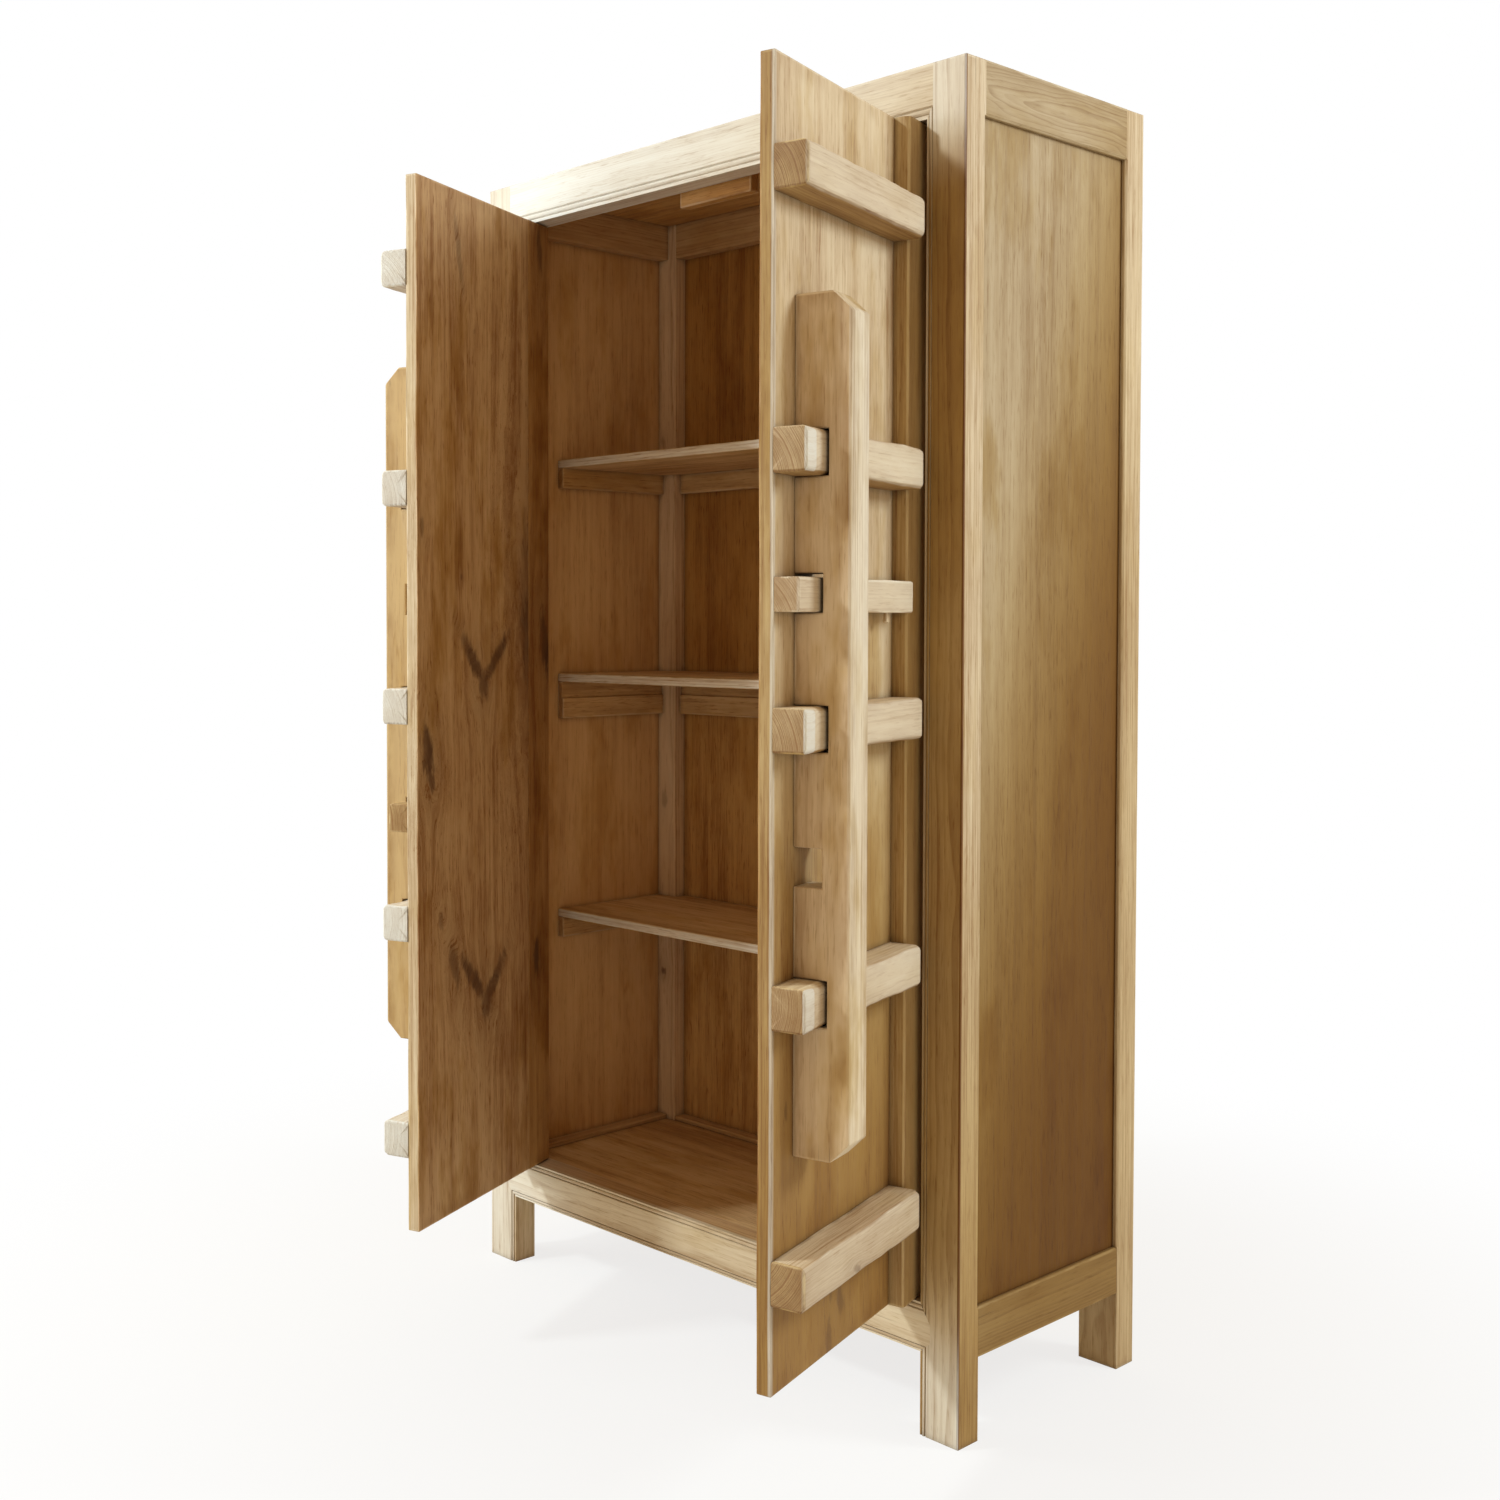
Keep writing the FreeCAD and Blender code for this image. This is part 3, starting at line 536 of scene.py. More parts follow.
def board_axes(name):
    """The board's centre, its axes and its half sizes along them.

    Local Z runs along the grain, local Y through the thickness, and local X across the width.
    """
    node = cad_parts[name]
    grain = grain_of(name)
    points = np.empty(len(node.data.vertices) * 3)
    node.data.vertices.foreach_get("co", points)
    points = points.reshape(-1, 3)
    spin = Matrix.Rotation(door_turn(name) or 0, 3, "Z")
    sides = [spin @ Vector(axis) for axis in ((1, 0, 0), (0, 1, 0), (0, 0, 1))]
    sides = [side for side in sides if abs(side.dot(grain)) < 0.5]
    wide, thin = sorted(sides, key=lambda side: np.ptp(points @ np.array(side)), reverse=True)
    if wide.cross(thin).dot(grain) < 0:
        thin = -thin
    axes = Matrix((wide, thin, grain)).transposed()
    local = points @ np.array(axes)
    low, high = local.min(0), local.max(0)
    return axes @ Vector((low + high) / 2), axes, Vector((high - low) / 2)


def outer_side(name, axes):
    """1 if the board's local Y points to the outer side of its door, or -1."""
    along = door_axis(name)
    out = UP.cross(along) if name.startswith("right_") else along.cross(UP)
    return 1 if axes.col[1].dot(out) > 0 else -1


def seed_of(name):
    """An offset into the noise that no other board has, from the letters of its name."""
    total = sum((i + 1) * ord(letter) for i, letter in enumerate(name))
    return (total * 0.731 % 17, total * 0.417 % 13, total * 0.577 % 19)


def pith_of(seed, half):
    """A pith line beside or behind the board, and how far it leans over a metre."""
    side = 0.5 - seed[0] / 17
    return (side * (0.12 + half.x), 0.05 + half.y + seed[1] * 0.004, (seed[2] / 19 - 0.5) * 0.03)


def face_share(tree, local, half, axis, side, begin=FACE_STEP[0], end=FACE_STEP[1]):
    """1 on one face of a board and 0 away from it. The face lies on that side of a local axis."""
    deep = tree.times(local["XYZ"[axis]], float(side))
    return tree.ramp(deep, half[axis] - begin, half[axis] - end)


def hidden_share(tree, name, place, local, axes, half):
    """How far the faces that look into the cabinet are browner, partly as darker inner wood and
    partly as painted shade. Its outer skin has 0. On a lock board it is painted shade on both
    narrow sides.
    """
    most = OWN_LOOK.get(name, {}).get("hidden", 1.0)
    kind = kind_of(name)
    side = 0
    if kind == "lock":
        # Painted shade on both narrow sides of a lock board
        local, side = {"Y": tree.math("ABSOLUTE", local["Y"])}, 1
    elif kind == "door":
        side = -outer_side(name, axes)
    elif name in CLOSING_PANELS:
        side = -1
    elif kind in ("bar", "inside"):
        return 0.0
    if side:
        return tree.times(face_share(tree, local, half, 1, side, *INNER_STEP), most)
    skin = tree.split(tree.vector("SUBTRACT", CARCASS_HALF, tree.vector("ABSOLUTE", place)))
    over_leg = tree.minus(tree.split(place)["Z"], LEG_TOP)
    nearest = tree.least(skin["X"], skin["Y"], skin["Z"], over_leg)
    return tree.ramp(nearest, *SKIN_STEP, 0.0, most)


def rubbed_share(tree, name, local, axes, half):
    """1 where hands can rub an edge, and 0 along the side of a bar that lies on its door."""
    if not name.endswith(("batten", "bolt")):
        return 1.0
    deep = tree.times(local["Y"], float(outer_side(name, axes)))
    return tree.ramp(deep, 0.006 - half.y, 0.02 - half.y)


def patch(depth, slope=None, step=None, **limits):
    """A patch of painted shade, stain or painted light, all over a board or from a smooth step
    along a slope.

    It may keep to one plane of the cabinet, or keep off it, or keep to the board's own face, and
    may fade again further along.
    """
    return dict(depth=depth, slope=slope, step=step, **limits)


def patched_share(tree, patches, place, local, half):
    """How far each place of a board is darkened or made paler, from a list of patches."""
    parts = tree.split(place)
    total = 0.0
    for spot in patches:
        share = spot["depth"]
        if spot["slope"]:
            slope = tree.vector("DOT_PRODUCT", place, spot["slope"])
            share = tree.times(tree.ramp(slope, *spot["step"]), share)
            if "fade" in spot:
                share = tree.times(share, tree.ramp(slope, *spot["fade"]))
        if "plane" in spot:
            axis, level, side = spot["plane"]
            on_plane = tree.ramp(tree.math("ABSOLUTE", tree.minus(parts[axis], level)), *PLANE_STEP)
            share = tree.times(share, tree.minus(1.0, on_plane) if side == "off" else on_plane)
        if "face" in spot:
            share = tree.times(share, face_share(tree, local, half, *spot["face"]))
        total = tree.most(total, share)
    return total


# How much of a knot shows away from the left door's inner face.
FAINT = 0.25
# What the CAD keeps of a batten and of a door board in their joints.
TENON, TONGUE = 30 * MILLIMETRE, 10 * MILLIMETRE
# Half the carcass's width and depth with its whole height, and the top of its bare legs.
CARCASS_HALF, LEG_TOP = (0.53, 0.235, 2.0), 0.124
SKIN_STEP, PLANE_STEP = (0.0098, 0.0114), (0.0012, 0.0004)
CLOSING_PANELS = ("back_panel", "top_panel")
# Where the painted shade, the stains and the painted light lie. Slopes are directions and steps
# are metres along them. A face is a local axis (0 across, 1 through, 2 along) and its side.
UPWARD, DOWNWARD, LEFTWARD = (0, 0, 1), (0, 0, -1), (-1, 0, 0)
FRONT, NOT_FRONT = ("Y", -CARCASS_HALF[1], "on"), ("Y", -CARCASS_HALF[1], "off")
RIGHT_DOOR_OUT = (0.252069, -0.967709, 0)
# Painted shade on the right side: darker towards the back and the bottom
SHADE_BACK_AND_DOWN = ((0, 1, -0.32), (-0.62, -0.06))
# Top of the right door's painted shadow on the post's front
DOOR_SHADOW_TOP = (1.93, 1.84)
SHADE_AND_STAINS = {
    # Painted shade on the right side's panel, rails and back post
    "right_side_panel": (patch(0.88, *SHADE_BACK_AND_DOWN),),
    "right_top_rail": (patch(0.3, *SHADE_BACK_AND_DOWN),),
    "right_bottom_rail": (patch(0.35, *SHADE_BACK_AND_DOWN),),
    "back_right_post": (patch(0.1, *SHADE_BACK_AND_DOWN),),
    "front_right_post": (
        # Painted shadow of the right door on the post's front, below its top
        patch(0.28, UPWARD, (0.1, 0.35), fade=DOOR_SHADOW_TOP, plane=FRONT),
        patch(0.5, UPWARD, (0.7, 1.6), fade=DOOR_SHADOW_TOP, plane=FRONT),
        # Painted shade, darker towards the bottom of the post's other faces
        patch(0.36, DOWNWARD, (-1.0, 0.05), plane=NOT_FRONT),
        # A dark line along the post's front right arris
        patch(1.1, (1, -1, 0), (0.7612, 0.7632))),
    # Painted shade, darker towards the top of the back
    "back_panel": (patch(0.22, UPWARD, (0.5, 1.5)),),
    "right_door_board": (
        # Painted shade, darker towards the bottom of the board. Its free edge is darker, more so
        # towards the top.
        patch(0.55, DOWNWARD, (-1.3, -0.25)), patch(0.35, UPWARD, (0.9, 1.7), face=(0, 1)),
        patch(0.18, face=(0, 1))),
    # Painted shade, darker towards the bottom of the stile
    "right_hinge_stile": (patch(0.25, DOWNWARD, (-3.0, -1.5)),),
    "left_lock_board": (patch(0.22),),
    "left_bolt": (patch(0.2),),
    "left_hinge_stile": (patch(0.2),),
    "left_door_board": (patch(0.12, DOWNWARD, (-0.9, -0.3), face=(1, -1)),),
}
# Painted light on the outer faces of the right door's battens and bolt, and a little all over
LIT_BAR_FACES = (patch(0.04), patch(0.27, face=(1, -1)))
# Painted highlight on a batten's outer face near the right door's free edge
LIT_FREE_END = patch(0.85, RIGHT_DOOR_OUT, (0.7303, 0.7353), face=(1, -1))
# Painted light on the shelves' front edges
LIT_SHELF_EDGE = patch(0.6, plane=("Y", -0.085, "on"))
# Painted light: where boards are painted paler, as the lamps light them
PAINTED_LIGHT = {
    # Painted light from the left: the front rails paler towards the left, the front left post on
    # its front
    "front_top_rail": (patch(0.95, LEFTWARD, (-0.8, 0.35)),),
    "front_left_post": (patch(0.6, plane=FRONT),),
    "front_bottom_rail": (patch(0.6, LEFTWARD, (0.2, 0.5)),),
    # Painted light, paler all over
    "back_left_post": (patch(0.25),),
    # Painted light on the post's front below and above the right door's painted shadow
    "front_right_post": (patch(0.5, DOWNWARD, (-0.2, -0.08), plane=FRONT),
                         patch(0.45, UPWARD, (1.8, 1.93), plane=FRONT)),
    # Painted light on the outer faces: the lock board paler towards the top, the door board along
    # its free edge
    "right_lock_board": (patch(0.32, UPWARD, (0.4, 1.5), face=(0, 1)),),
    "right_door_board": (patch(0.5, RIGHT_DOOR_OUT, (0.7523, 0.7598), face=(1, 1)),),
    "right_top_batten": LIT_BAR_FACES,
    "right_bottom_batten": LIT_BAR_FACES,
    "right_bolt": LIT_BAR_FACES,
    **{f"right_{level}_batten": (LIT_FREE_END, *LIT_BAR_FACES) for level in LEVELS},
    **{f"{level}_shelf": (LIT_SHELF_EDGE,) for level in LEVELS},
}


def shade_and_stains_of(name):
    """Where a board is darkened: painted shade on the battens' undersides and on the right door's
    batten ends, and others as listed.
    """
    if name.endswith("batten"):
        # Painted shade under each batten and on the right door's batten ends
        ends = 0.1 if LIT_FREE_END in painted_light_of(name) else 0.25 if name.startswith("right_") else 0.0
        return patch(0.5, face=(0, -1)), patch(ends, face=(2, 1))
    return SHADE_AND_STAINS.get(name, ())


def painted_light_of(name):
    """Where a board is painted paler as lit: the left door's battens all over, the other boards as
    listed.
    """
    if name.startswith("left_") and name.endswith("batten"):
        # Painted light on the left door's battens, and more on their free ends
        return patch(0.5), patch(0.85, face=(2, 1))
    return PAINTED_LIGHT.get(name, ())


def timber_material(name):
    """The finish of one board, with its pattern on the board's own axes."""
    centre, axes, half = board_axes(name)
    kind = dict(zip(("colours", "arris", *LOOK_NUMBERS), KINDS[kind_of(name)]))
    look = {**kind, **OWN_LOOK.get(name, {})}
    timber = bpy.context.scene.trastero_timber
    material = bpy.data.materials.new("timber_" + name)
    tree = blank_tree(material)
    coordinates = tree.add("TexCoord").outputs["Object"]
    mapping = tree.add("Mapping", vector_type="TEXTURE", Vector=coordinates, Location=centre,
                       Rotation=axes.to_euler())
    place = grain_place = mapping.outputs["Vector"]
    local = tree.split(place)
    mask = 0.0
    seed = seed_of(name)
    hidden = hidden_share(tree, name, coordinates, local, axes, half)
    for across, along, radius, slant, stretch, strength in KNOTS.get(name, ()):
        middle = (across * MILLIMETRE, 0, along * MILLIMETRE)
        knot = tree.add("Group", node_tree=bpy.data.node_groups["knot"], Place=place,
                        Centre=middle, Radius=radius * MILLIMETRE, Mask=mask, Seed=seed,
                        Slant=slant, Stretch=stretch, Strength=strength,
                        Reach=KNOT_REACH[abs(slant) > 0.5], **{"Grain place": grain_place})
        grain_place, mask = knot.outputs["Grain place"], knot.outputs["Mask"]
    if "inner" in look:
        mask = tree.times(mask, tree.math("MULTIPLY_ADD", hidden, 1 - FAINT, FAINT))
        for key, inner in look["inner"].items():
            look[key] = tree.math("MULTIPLY_ADD", hidden, inner - look[key], look[key])
    settings = {
        "Place": place, "Grain place": grain_place, "Knot": mask, "Half": half, "Seed": seed,
        "Pith": pith_of(seed, half), "Hidden": hidden,
        "Rub share": rubbed_share(tree, name, local, axes, half),
        "Rub width": bpy.context.scene.trastero_wear.rubbed_width,
        "Stain": patched_share(tree, shade_and_stains_of(name), coordinates, local, half),
        "Bleach": patched_share(tree, painted_light_of(name), coordinates, local, half),
        **{key.capitalize(): look[key] for key in LOOK_NUMBERS}}
    own = {label: label.lower().replace(" ", "_") for label in TIMBER_INPUTS["Color"]}
    own.update({label: f"{look['colours']}_{own[label]}" for label in ("Pale", "Mid", "Dark")})
    own["Hidden tint"] = look.get("tint", "hidden_tint")
    settings.update({label: (*getattr(timber, own[label]), 1) for label in own})
    body = tree.add("Group", node_tree=bpy.data.node_groups["timber"])
    for label, value in settings.items():
        tree.feed(body, label, value)
    bump = tree.add("Bump", Strength=0.55, Distance=0.0011, Height=body.outputs["Height"])
    surface = tree.add("BsdfPrincipled", Roughness=body.outputs["Roughness"],
                       Normal=bump.outputs["Normal"],
                       IOR=DULL if look["colours"] == "panel" else GLOSSY)
    tree.feed(surface, "Base Color", body.outputs["Color"])
    tree.add("OutputMaterial", Surface=surface.outputs["BSDF"])
    return material


def dress(name):
    """Gives a CAD board its finish, and eases its edges."""
    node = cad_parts[name]
    material = timber_material(name)
    if not node.data.materials:
        node.data.materials.append(material)
    for i in range(len(node.data.materials)):
        node.data.materials[i] = material
    weld = node.modifiers.new("join", "WELD")
    weld.merge_threshold = 0.01 * MILLIMETRE
    bevel = node.modifiers.new("arris", "BEVEL")
    bevel.width = getattr(bpy.context.scene.trastero_wear, KINDS[kind_of(name)][1])
    bevel.segments = 2
    bevel.limit_method = "ANGLE"
    bevel.angle_limit = math.radians(40)


def dress_kinds(*kinds):
    """Gives every CAD board of those kinds its finish."""
    for name in sorted(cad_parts):
        if kind_of(name) in kinds:
            dress(name)


# Worn bars

# Lengths over which a bar's and a board's faces waver.
BAR_PITCH, BOARD_PITCH = 0.23, 0.6
# A bolt's and a door board's rounding, as shares of what a batten and a lock board have.
BOLT_ARRIS, BOLT_END, BOARD_ARRIS = 0.4, 0.5, 0.7
# Where a batten's hollow begins, is deepest and ends, from its free end.
HOLLOW_STEPS = (0.01, 0.055, 0.17)
NO_HOLLOW = (0, 0, 1, 2)
# Steps round a bar's sides and corners, over each eased end, and their length along it.
FLAT_STEPS, ARC_STEPS, END_STEPS, STEP = 8, 6, 5, 0.006
# How a corner's rounding varies: how sharp a resting one is, its swell, and the swell's length.
SHARP, SWELL, SWELL_PITCH = 0.85, 0.3, 0.19
SMOOTH_ANGLE = math.radians(50)


def ring_plan():
    """The points round a rounded rectangle, as three arrays.

    A point stands at (a_share * (half_a - radius) + radius * cos(angle)) along one side and the
    same with b_share and sin(angle) along the other. The angle turns only in the corners.
    """
    arc = np.arange(ARC_STEPS) / ARC_STEPS
    along = 2 * np.arange(FLAT_STEPS) / FLAT_STEPS - 1
    a_share, b_share, angle = [], [], []
    for quarter in range(4):
        turn = quarter * math.pi / 2
        side_a, side_b = round(math.cos(turn)), round(math.sin(turn))
        a_share += [side_a - side_b * along, np.full(ARC_STEPS, side_a - side_b)]
        b_share += [side_b + side_a * along, np.full(ARC_STEPS, side_b + side_a)]
        angle += [np.full(FLAT_STEPS, turn), turn + arc * math.pi / 2]
    return np.concatenate(a_share), np.concatenate(b_share), np.concatenate(angle)


def slow_wave(values, seed, longest, terms=4):
    """A smooth wander between -1 and 1: sines of falling length, each with a phase of its own."""
    wander = np.zeros(np.broadcast(values).shape)
    for term in range(terms):
        pitch = longest / (1.7 ** term)
        phase = seed * (3.1 + 5.3 * term)
        wander = wander + np.sin(values * 2 * math.pi / pitch + phase) / (term + 1)
    return wander / sum(1 / (term + 1) for term in range(terms))


def kept_side(values, half, rest, sink):
    """Shrinks coordinates by a sink, away from the side that rests, or evenly if rest is 0.

    New value = rest * half + (value - rest * half) * (1 - sink / (half * (1 + |rest|))).
    """
    return rest * half + (values - rest * half) * (1 - sink / (half * (1 + abs(rest))))


def worn_bar(name, centre, axes, half, rest, radius, end_round, wander, pitch, waist):
    """A bar with rubbed arrises, uneven faces and eased ends.

    A rounded rectangle is carried along local Z. Within end_round of an end it shrinks by
    end_round - sqrt(end_round squared - (end_round - distance) squared). Each face sinks by a
    slow wander along the bar, and each corner's radius swells and narrows. The sides named by
    rest stay put, with sharp arrises on the local Y one. Waist is the depth of a hollow in the
    other local Y side, and where it begins, is deepest and ends, from the bar's far end.
    """
    seed = seed_of(name)[0]
    share = (1 - np.cos(np.linspace(0, math.pi / 2, END_STEPS + 1))) * end_round
    middle_steps = max(int((half.z - end_round) * 2 / STEP), 4)
    middle = np.linspace(end_round, 2 * half.z - end_round, middle_steps + 1)[1:-1]
    station = np.concatenate([share, middle, 2 * half.z - share[::-1]])
    from_end = np.minimum(np.minimum(station, 2 * half.z - station), end_round)
    shrink = end_round - np.sqrt(np.maximum(end_round ** 2 - (end_round - from_end) ** 2, 0))
    a_share, b_share, angle = ring_plan()
    along = station[:, None]
    corner = np.floor(angle / (math.pi / 2) + 0.5)[None, :]
    sharp = (1 + b_share * rest[1]) / 2 * abs(rest[1])
    swell = 1 + SWELL * slow_wave(along + corner * 0.37, seed, SWELL_PITCH)
    sized = radius * (1 - SHARP * sharp) * swell
    uneven = (1 + slow_wave(along + np.sin(angle)[None, :] * 0.05, seed + 1.7, pitch)) / 2
    a = a_share * (half.x - sized) + sized * np.cos(angle)
    b = b_share * (half.y - sized) + sized * np.sin(angle)
    depth, begin, deepest, end = waist
    hollow = np.interp(2 * half.z - station, (begin, deepest, end), (0, 1, 0))
    hollow = depth * hollow ** 2 * (3 - 2 * hollow)
    a = kept_side(a, half.x, rest[0], wander[0] * uneven + shrink[:, None])
    b = kept_side(b, half.y, rest[1], wander[1] * uneven + (shrink + hollow)[:, None])
    local = np.stack([a, b, np.broadcast_to(along - half.z, a.shape)], -1).reshape(-1, 3)
    cap_place = np.array(rest) * end_round / 2
    caps = np.array([[*cap_place, side * half.z] for side in (-1, 1)])
    points = np.concatenate([local, caps]) @ np.array(axes).T + np.array(centre)
    return ring_mesh(name + "_worn", points, len(station), len(angle))


def ring_mesh(name, points, stations, around):
    """A closed surface through rings of points, with a fan on each end."""
    ring = np.arange(around)
    after = (ring + 1) % around
    first = (np.arange(stations - 1) * around)[:, None]
    one, two = first + ring, first + after
    sides = np.stack([one, two, two + around, one + around], -1)
    last = (stations - 1) * around
    start_cap = np.stack([after, ring, np.full(around, stations * around)], -1)
    end_cap = np.stack([last + ring, last + after, np.full(around, stations * around + 1)], -1)
    faces = [*sides.reshape(-1, 4).tolist(), *start_cap.tolist(), *end_cap.tolist()]
    mesh = bpy.data.meshes.new(name)
    mesh.from_pydata(points.tolist(), [], faces)
    mesh.polygons.foreach_set("use_smooth", np.ones(len(faces), bool))
    mesh.set_sharp_from_angle(angle=SMOOTH_ANGLE)
    return put(name, mesh)


def put_in_place(piece, node_name, body):
    """Gives a piece the finish and the body of the CAD board that it stands for, and hides that
    board.
    """
    piece.data.materials.append(timber_material(node_name))
    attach(piece, body)
    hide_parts(node_name)


def lay_bar(node_name, body, start, wander, radius, end_round, waist):
    """Puts a worn bar in the place of a CAD bar, from start along its grain."""
    centre, axes, half = board_axes(node_name)
    size = Vector((half.x, half.y, half.z - start / 2))
    rest = -outer_side(node_name, axes)
    piece = worn_bar(node_name, centre + axes.col[2] * (start / 2), axes, size, (0, rest),
                     radius, end_round, (wander, wander), BAR_PITCH, waist)
    put_in_place(piece, node_name, body)


def lay_board(node_name, body, start, wander, radius):
    """Puts a board with a wavy, worn free edge in the place of a CAD one, past its tongue."""
    centre, axes, half = board_axes(node_name)
    free = 1 if axes.col[0].dot(door_axis(node_name)) > 0 else -1
    size = Vector((half.x - start / 2, half.y, half.z))
    piece = worn_bar(node_name, centre + axes.col[0] * (free * start / 2), axes, size,
                     (-free, 0), radius, radius, (wander, 0), BOARD_PITCH, NO_HOLLOW)
    put_in_place(piece, node_name, body)


# Operators


class TRASTERO_OT_stage(bpy.types.Operator):
    """Sets the camera, the lamps, the room's light and the floor"""
    bl_idname = "trastero.stage"
    bl_label = "Stage"

    def execute(self, context):
        settings = context.scene.trastero_stage
        context.scene.view_settings.view_transform = "Standard"
        make_camera()
        make_lamps(settings)
        make_world(settings)
        make_floor(settings)
        return {"FINISHED"}


class TRASTERO_OT_patterns(bpy.types.Operator):
    """Makes the node groups that every timber finish uses"""
    bl_idname = "trastero.patterns"
    bl_label = "Timber patterns"

    def execute(self, context):
        knot_group()
        timber_group()
        return {"FINISHED"}


class TRASTERO_OT_carcass(bpy.types.Operator):
    """Finishes the posts, rails and side panels"""
    bl_idname = "trastero.carcass"
    bl_label = "Carcass"

    def execute(self, context):
        dress_kinds("frame", "panel")
        return {"FINISHED"}


class TRASTERO_OT_inside(bpy.types.Operator):
    """Finishes the back, top, floor, shelves and their bearers"""
    bl_idname = "trastero.inside"
    bl_label = "Inside boards"

    def execute(self, context):
        dress_kinds("inside")
        return {"FINISHED"}


class TRASTERO_OT_doors(bpy.types.Operator):
    """Finishes the doors' stiles, lock boards and pins, and lays their worn boards"""
    bl_idname = "trastero.doors"
    bl_label = "Doors"

    def execute(self, context):
        wear = context.scene.trastero_wear
        for name in sorted(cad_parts):
            if name.endswith("door_board"):
                lay_board(name, name.split("_")[0] + "_door", TONGUE,
                          wear.edge_wander, wear.door_arris * BOARD_ARRIS)
            elif kind_of(name) in ("door", "lock") or name.endswith(("pins", "peg")):
                dress(name)
        return {"FINISHED"}


class TRASTERO_OT_battens(bpy.types.Operator):
    """Lays the worn battens across the doors, and the two bolts"""
    bl_idname = "trastero.battens"
    bl_label = "Battens and bolts"

    def execute(self, context):
        wear = context.scene.trastero_wear
        for name in sorted(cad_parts):
            side = name.split("_")[0]
            if name.endswith("_batten"):
                notched = name.endswith(("upper_batten", "middle_batten", "lower_batten"))
                hollow = (wear.bar_waist, *HOLLOW_STEPS) if notched else NO_HOLLOW
                lay_bar(name, side + "_door", TENON, wear.bar_wander,
                        wear.bar_arris, wear.bar_end, hollow)
            elif name.endswith("_bolt"):
                lay_bar(name, side + "_bolt", 0.0, wear.bar_wander,
                        wear.bar_arris * BOLT_ARRIS, wear.bar_end * BOLT_END, NO_HOLLOW)
        return {"FINISHED"}


class TRASTERO_PT_panel(bpy.types.Panel):
    """Lists the cabinet's buttons and settings"""
    bl_label = "Trastero Cabinet"
    bl_idname = "TRASTERO_PT_panel"
    bl_space_type = "VIEW_3D"
    bl_region_type = "UI"
    bl_category = "Trastero"

    def draw(self, context):
        for operator in OPERATORS:
            self.layout.operator(operator.bl_idname)
        for group in GROUPS:
            settings = getattr(context.scene, group)
            for name in settings.__annotations__:
                self.layout.prop(settings, name)


# Half the floor's side, and how far from the middle it begins to fade to white and has faded.
FLOOR_REACH, FLOOR_FADE = 12.0, (0.5, 2.0)


def make_camera():
    """The camera stands at the front right, a little above the middle, and looks slightly down."""
    data = bpy.data.cameras.new("camera")
    data.lens = 42.222
    data.sensor_width = 36
    data.shift_x = 0.14351
    data.shift_y = -0.05140
    data.clip_start = 0.1
    data.clip_end = 60
    camera = put("camera", data)
    right = Vector((0.65299687, 0.75735999, -0.00096904))
    top = Vector((-0.02184226, 0.02011136, 0.99955913))
    ahead = Vector((-0.75704558, 0.65268781, -0.02967511))
    turned = Matrix((right, top, -ahead)).transposed().to_4x4()
    camera.matrix_world = Matrix.Translation((2.03056, -2.33424, 1.19966)) @ turned
    bpy.context.scene.camera = camera


# Lamps: place, the point that it faces, width and height.
LAMPS = {
    "right_lamp": ((2.9, 1.5, 2.9), (0.53, -0.3, 1.2), 0.9, 1.2),
    "front_lamp": ((-2.6, -5.2, 5.4), (0.0, -0.235, 1.2), 0.8, 0.8),
    "left_lamp": ((-2.1, -1.9, 1.7), (-0.45, -0.45, 1.2), 1.0, 1.4),
}


def make_lamps(settings):
    """Soft lamps that light the cabinet and aren't seen themselves."""
    for name, (place, target, width, height) in LAMPS.items():
        data = bpy.data.lights.new(name, "AREA")
        data.shape = "RECTANGLE"
        data.size, data.size_y = width, height
        data.energy = getattr(settings, name)
        data.color = settings.lamp_tint
        lamp = put(name, data)
        lamp.location = place
        lamp.rotation_euler = (Vector(target) - Vector(place)).to_track_quat("-Z", "Y").to_euler()
        lamp.visible_camera = False


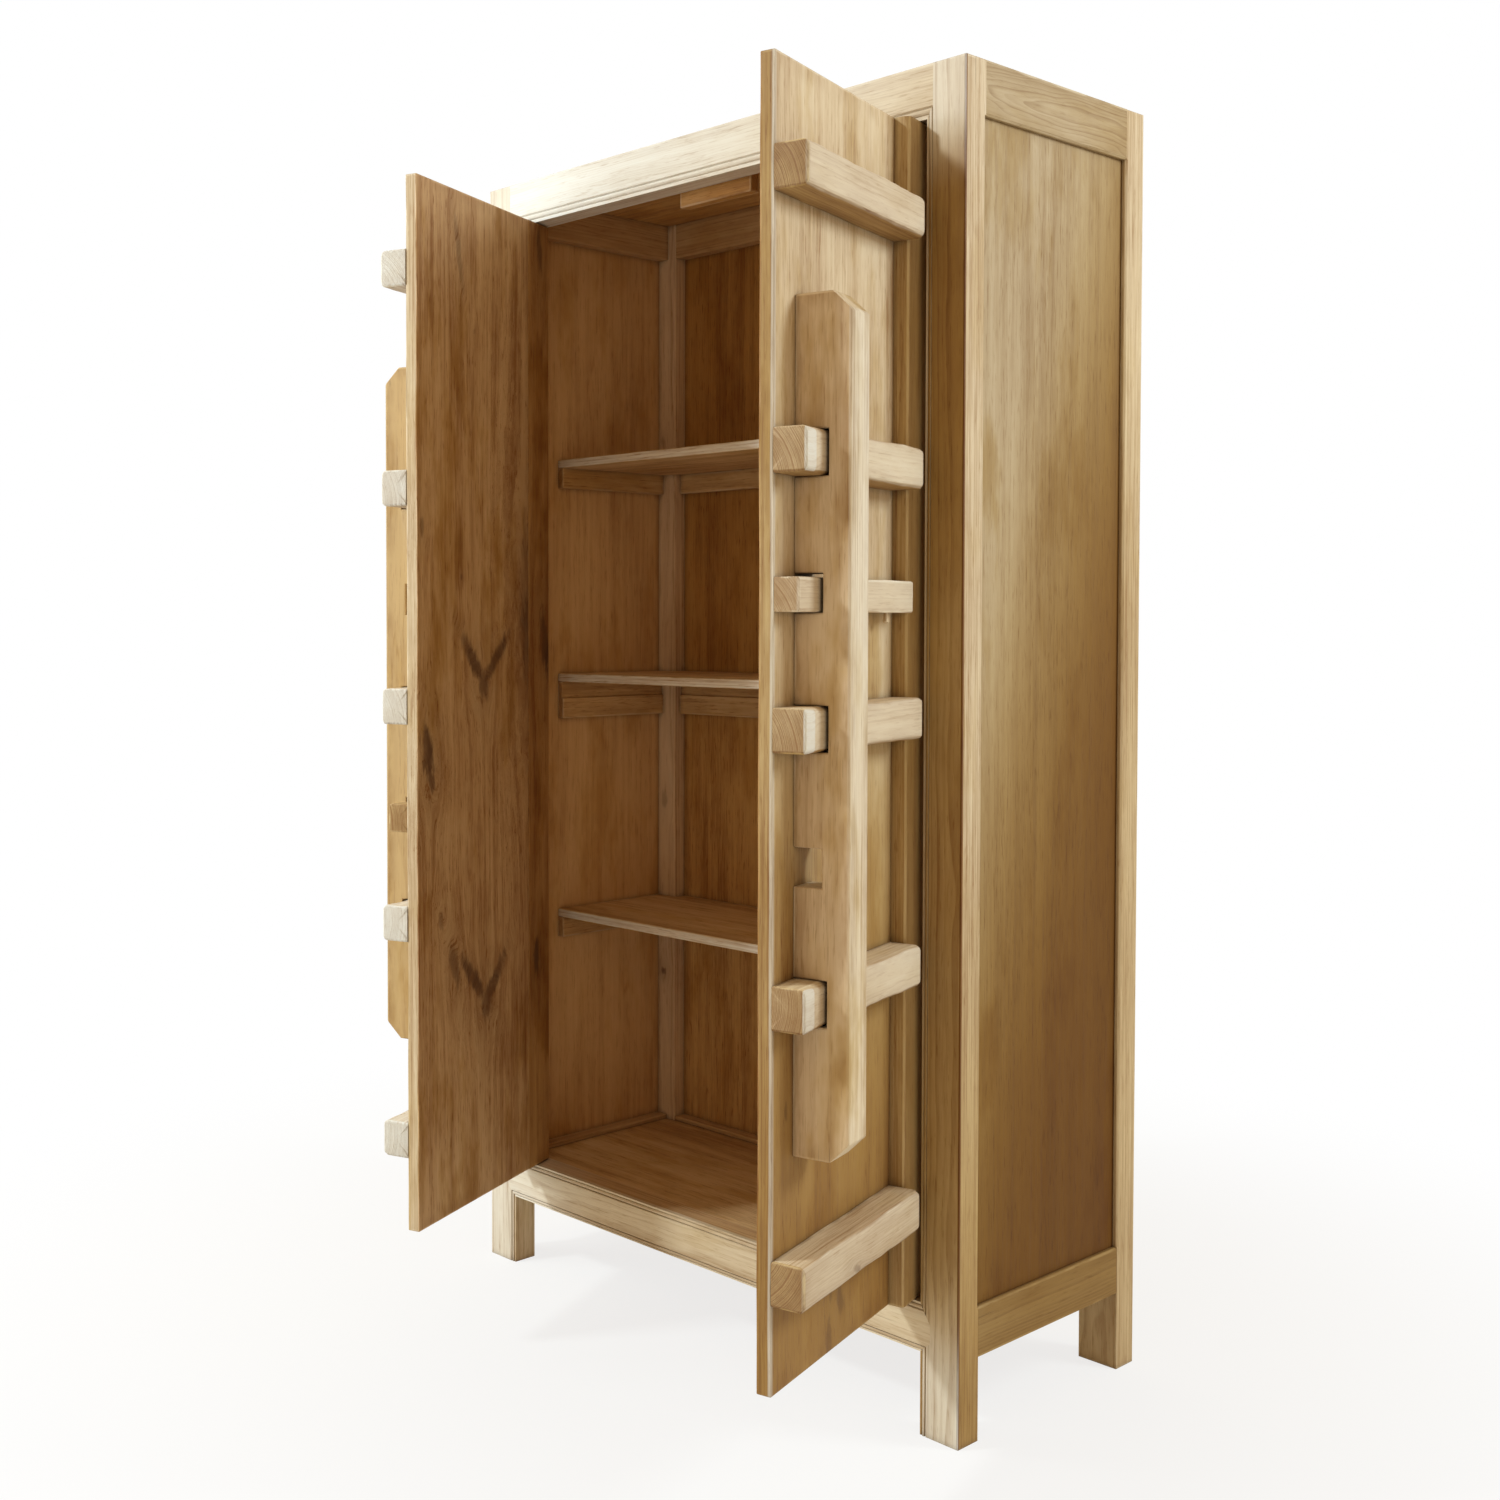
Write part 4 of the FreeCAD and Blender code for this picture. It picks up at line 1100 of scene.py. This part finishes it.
def make_world(settings):
    """White for the camera and in reflections, and a soft even light on the cabinet."""
    world = bpy.data.worlds.new("studio")
    tree = blank_tree(world)
    bpy.context.scene.world = world
    path = tree.add("LightPath").outputs
    rays = (path[f"Is {kind} Ray"] for kind in ("Camera", "Glossy", "Transmission"))
    seen = tree.plus(*rays, clamp=True)
    soft = tree.add("Background", Color=(*settings.room_tint, 1), Strength=settings.all_round)
    white = tree.add("Background", Color=(1, 1, 1, 1))
    both = tree.add("MixShader", in_0=seen, in_1=soft.outputs[0], in_2=white.outputs[0])
    tree.add("OutputWorld", Surface=both.outputs["Shader"])


def make_floor(settings):
    """A wide pale floor that takes the cabinet's shadow and fades to white further off."""
    signs = ((-1, -1), (1, -1), (1, 1), (-1, 1))
    corners = [(FLOOR_REACH * x, FLOOR_REACH * y, 0) for x, y in signs]
    mesh = bpy.data.meshes.new("floor")
    mesh.from_pydata(corners, [], [(0, 1, 2, 3)])
    floor = put("floor", mesh)
    material = bpy.data.materials.new("studio_floor")
    tree = blank_tree(material)
    place = tree.add("TexCoord").outputs["Object"]
    path = tree.add("LightPath").outputs
    seen = tree.plus(path["Is Camera Ray"], path["Is Glossy Ray"], clamp=True)
    far = tree.ramp(tree.vector("LENGTH", place), *FLOOR_FADE, settings.floor_glow, 1.0)
    matt = tree.add("BsdfDiffuse", Color=(*settings.floor, 1)).outputs["BSDF"]
    white = tree.add("Emission", Color=(1, 1, 1, 1)).outputs["Emission"]
    both = tree.add("MixShader", in_0=tree.times(seen, far), in_1=matt, in_2=white)
    tree.add("OutputMaterial", Surface=both.outputs["Shader"])
    mesh.materials.append(material)


OPERATORS = (TRASTERO_OT_stage, TRASTERO_OT_patterns, TRASTERO_OT_carcass, TRASTERO_OT_inside,
             TRASTERO_OT_doors, TRASTERO_OT_battens)
GROUPS = {"trastero_timber": TrasteroTimber, "trastero_wear": TrasteroWear,
          "trastero_stage": TrasteroStage}
CLASSES = (*GROUPS.values(), *OPERATORS, TRASTERO_PT_panel)


def register():
    """Adds the settings, the buttons and the panel."""
    for item in CLASSES:
        bpy.utils.register_class(item)
    for name, group in GROUPS.items():
        setattr(bpy.types.Scene, name, PointerProperty(type=group))


def unregister():
    """Takes them away again."""
    for name in GROUPS:
        delattr(bpy.types.Scene, name)
    for item in reversed(CLASSES):
        bpy.utils.unregister_class(item)


def main():
    """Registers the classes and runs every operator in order."""
    register()
    for operator in OPERATORS:
        group, name = operator.bl_idname.split(".")
        getattr(getattr(bpy.ops, group), name)()


if __name__ == "__main__":
    main()
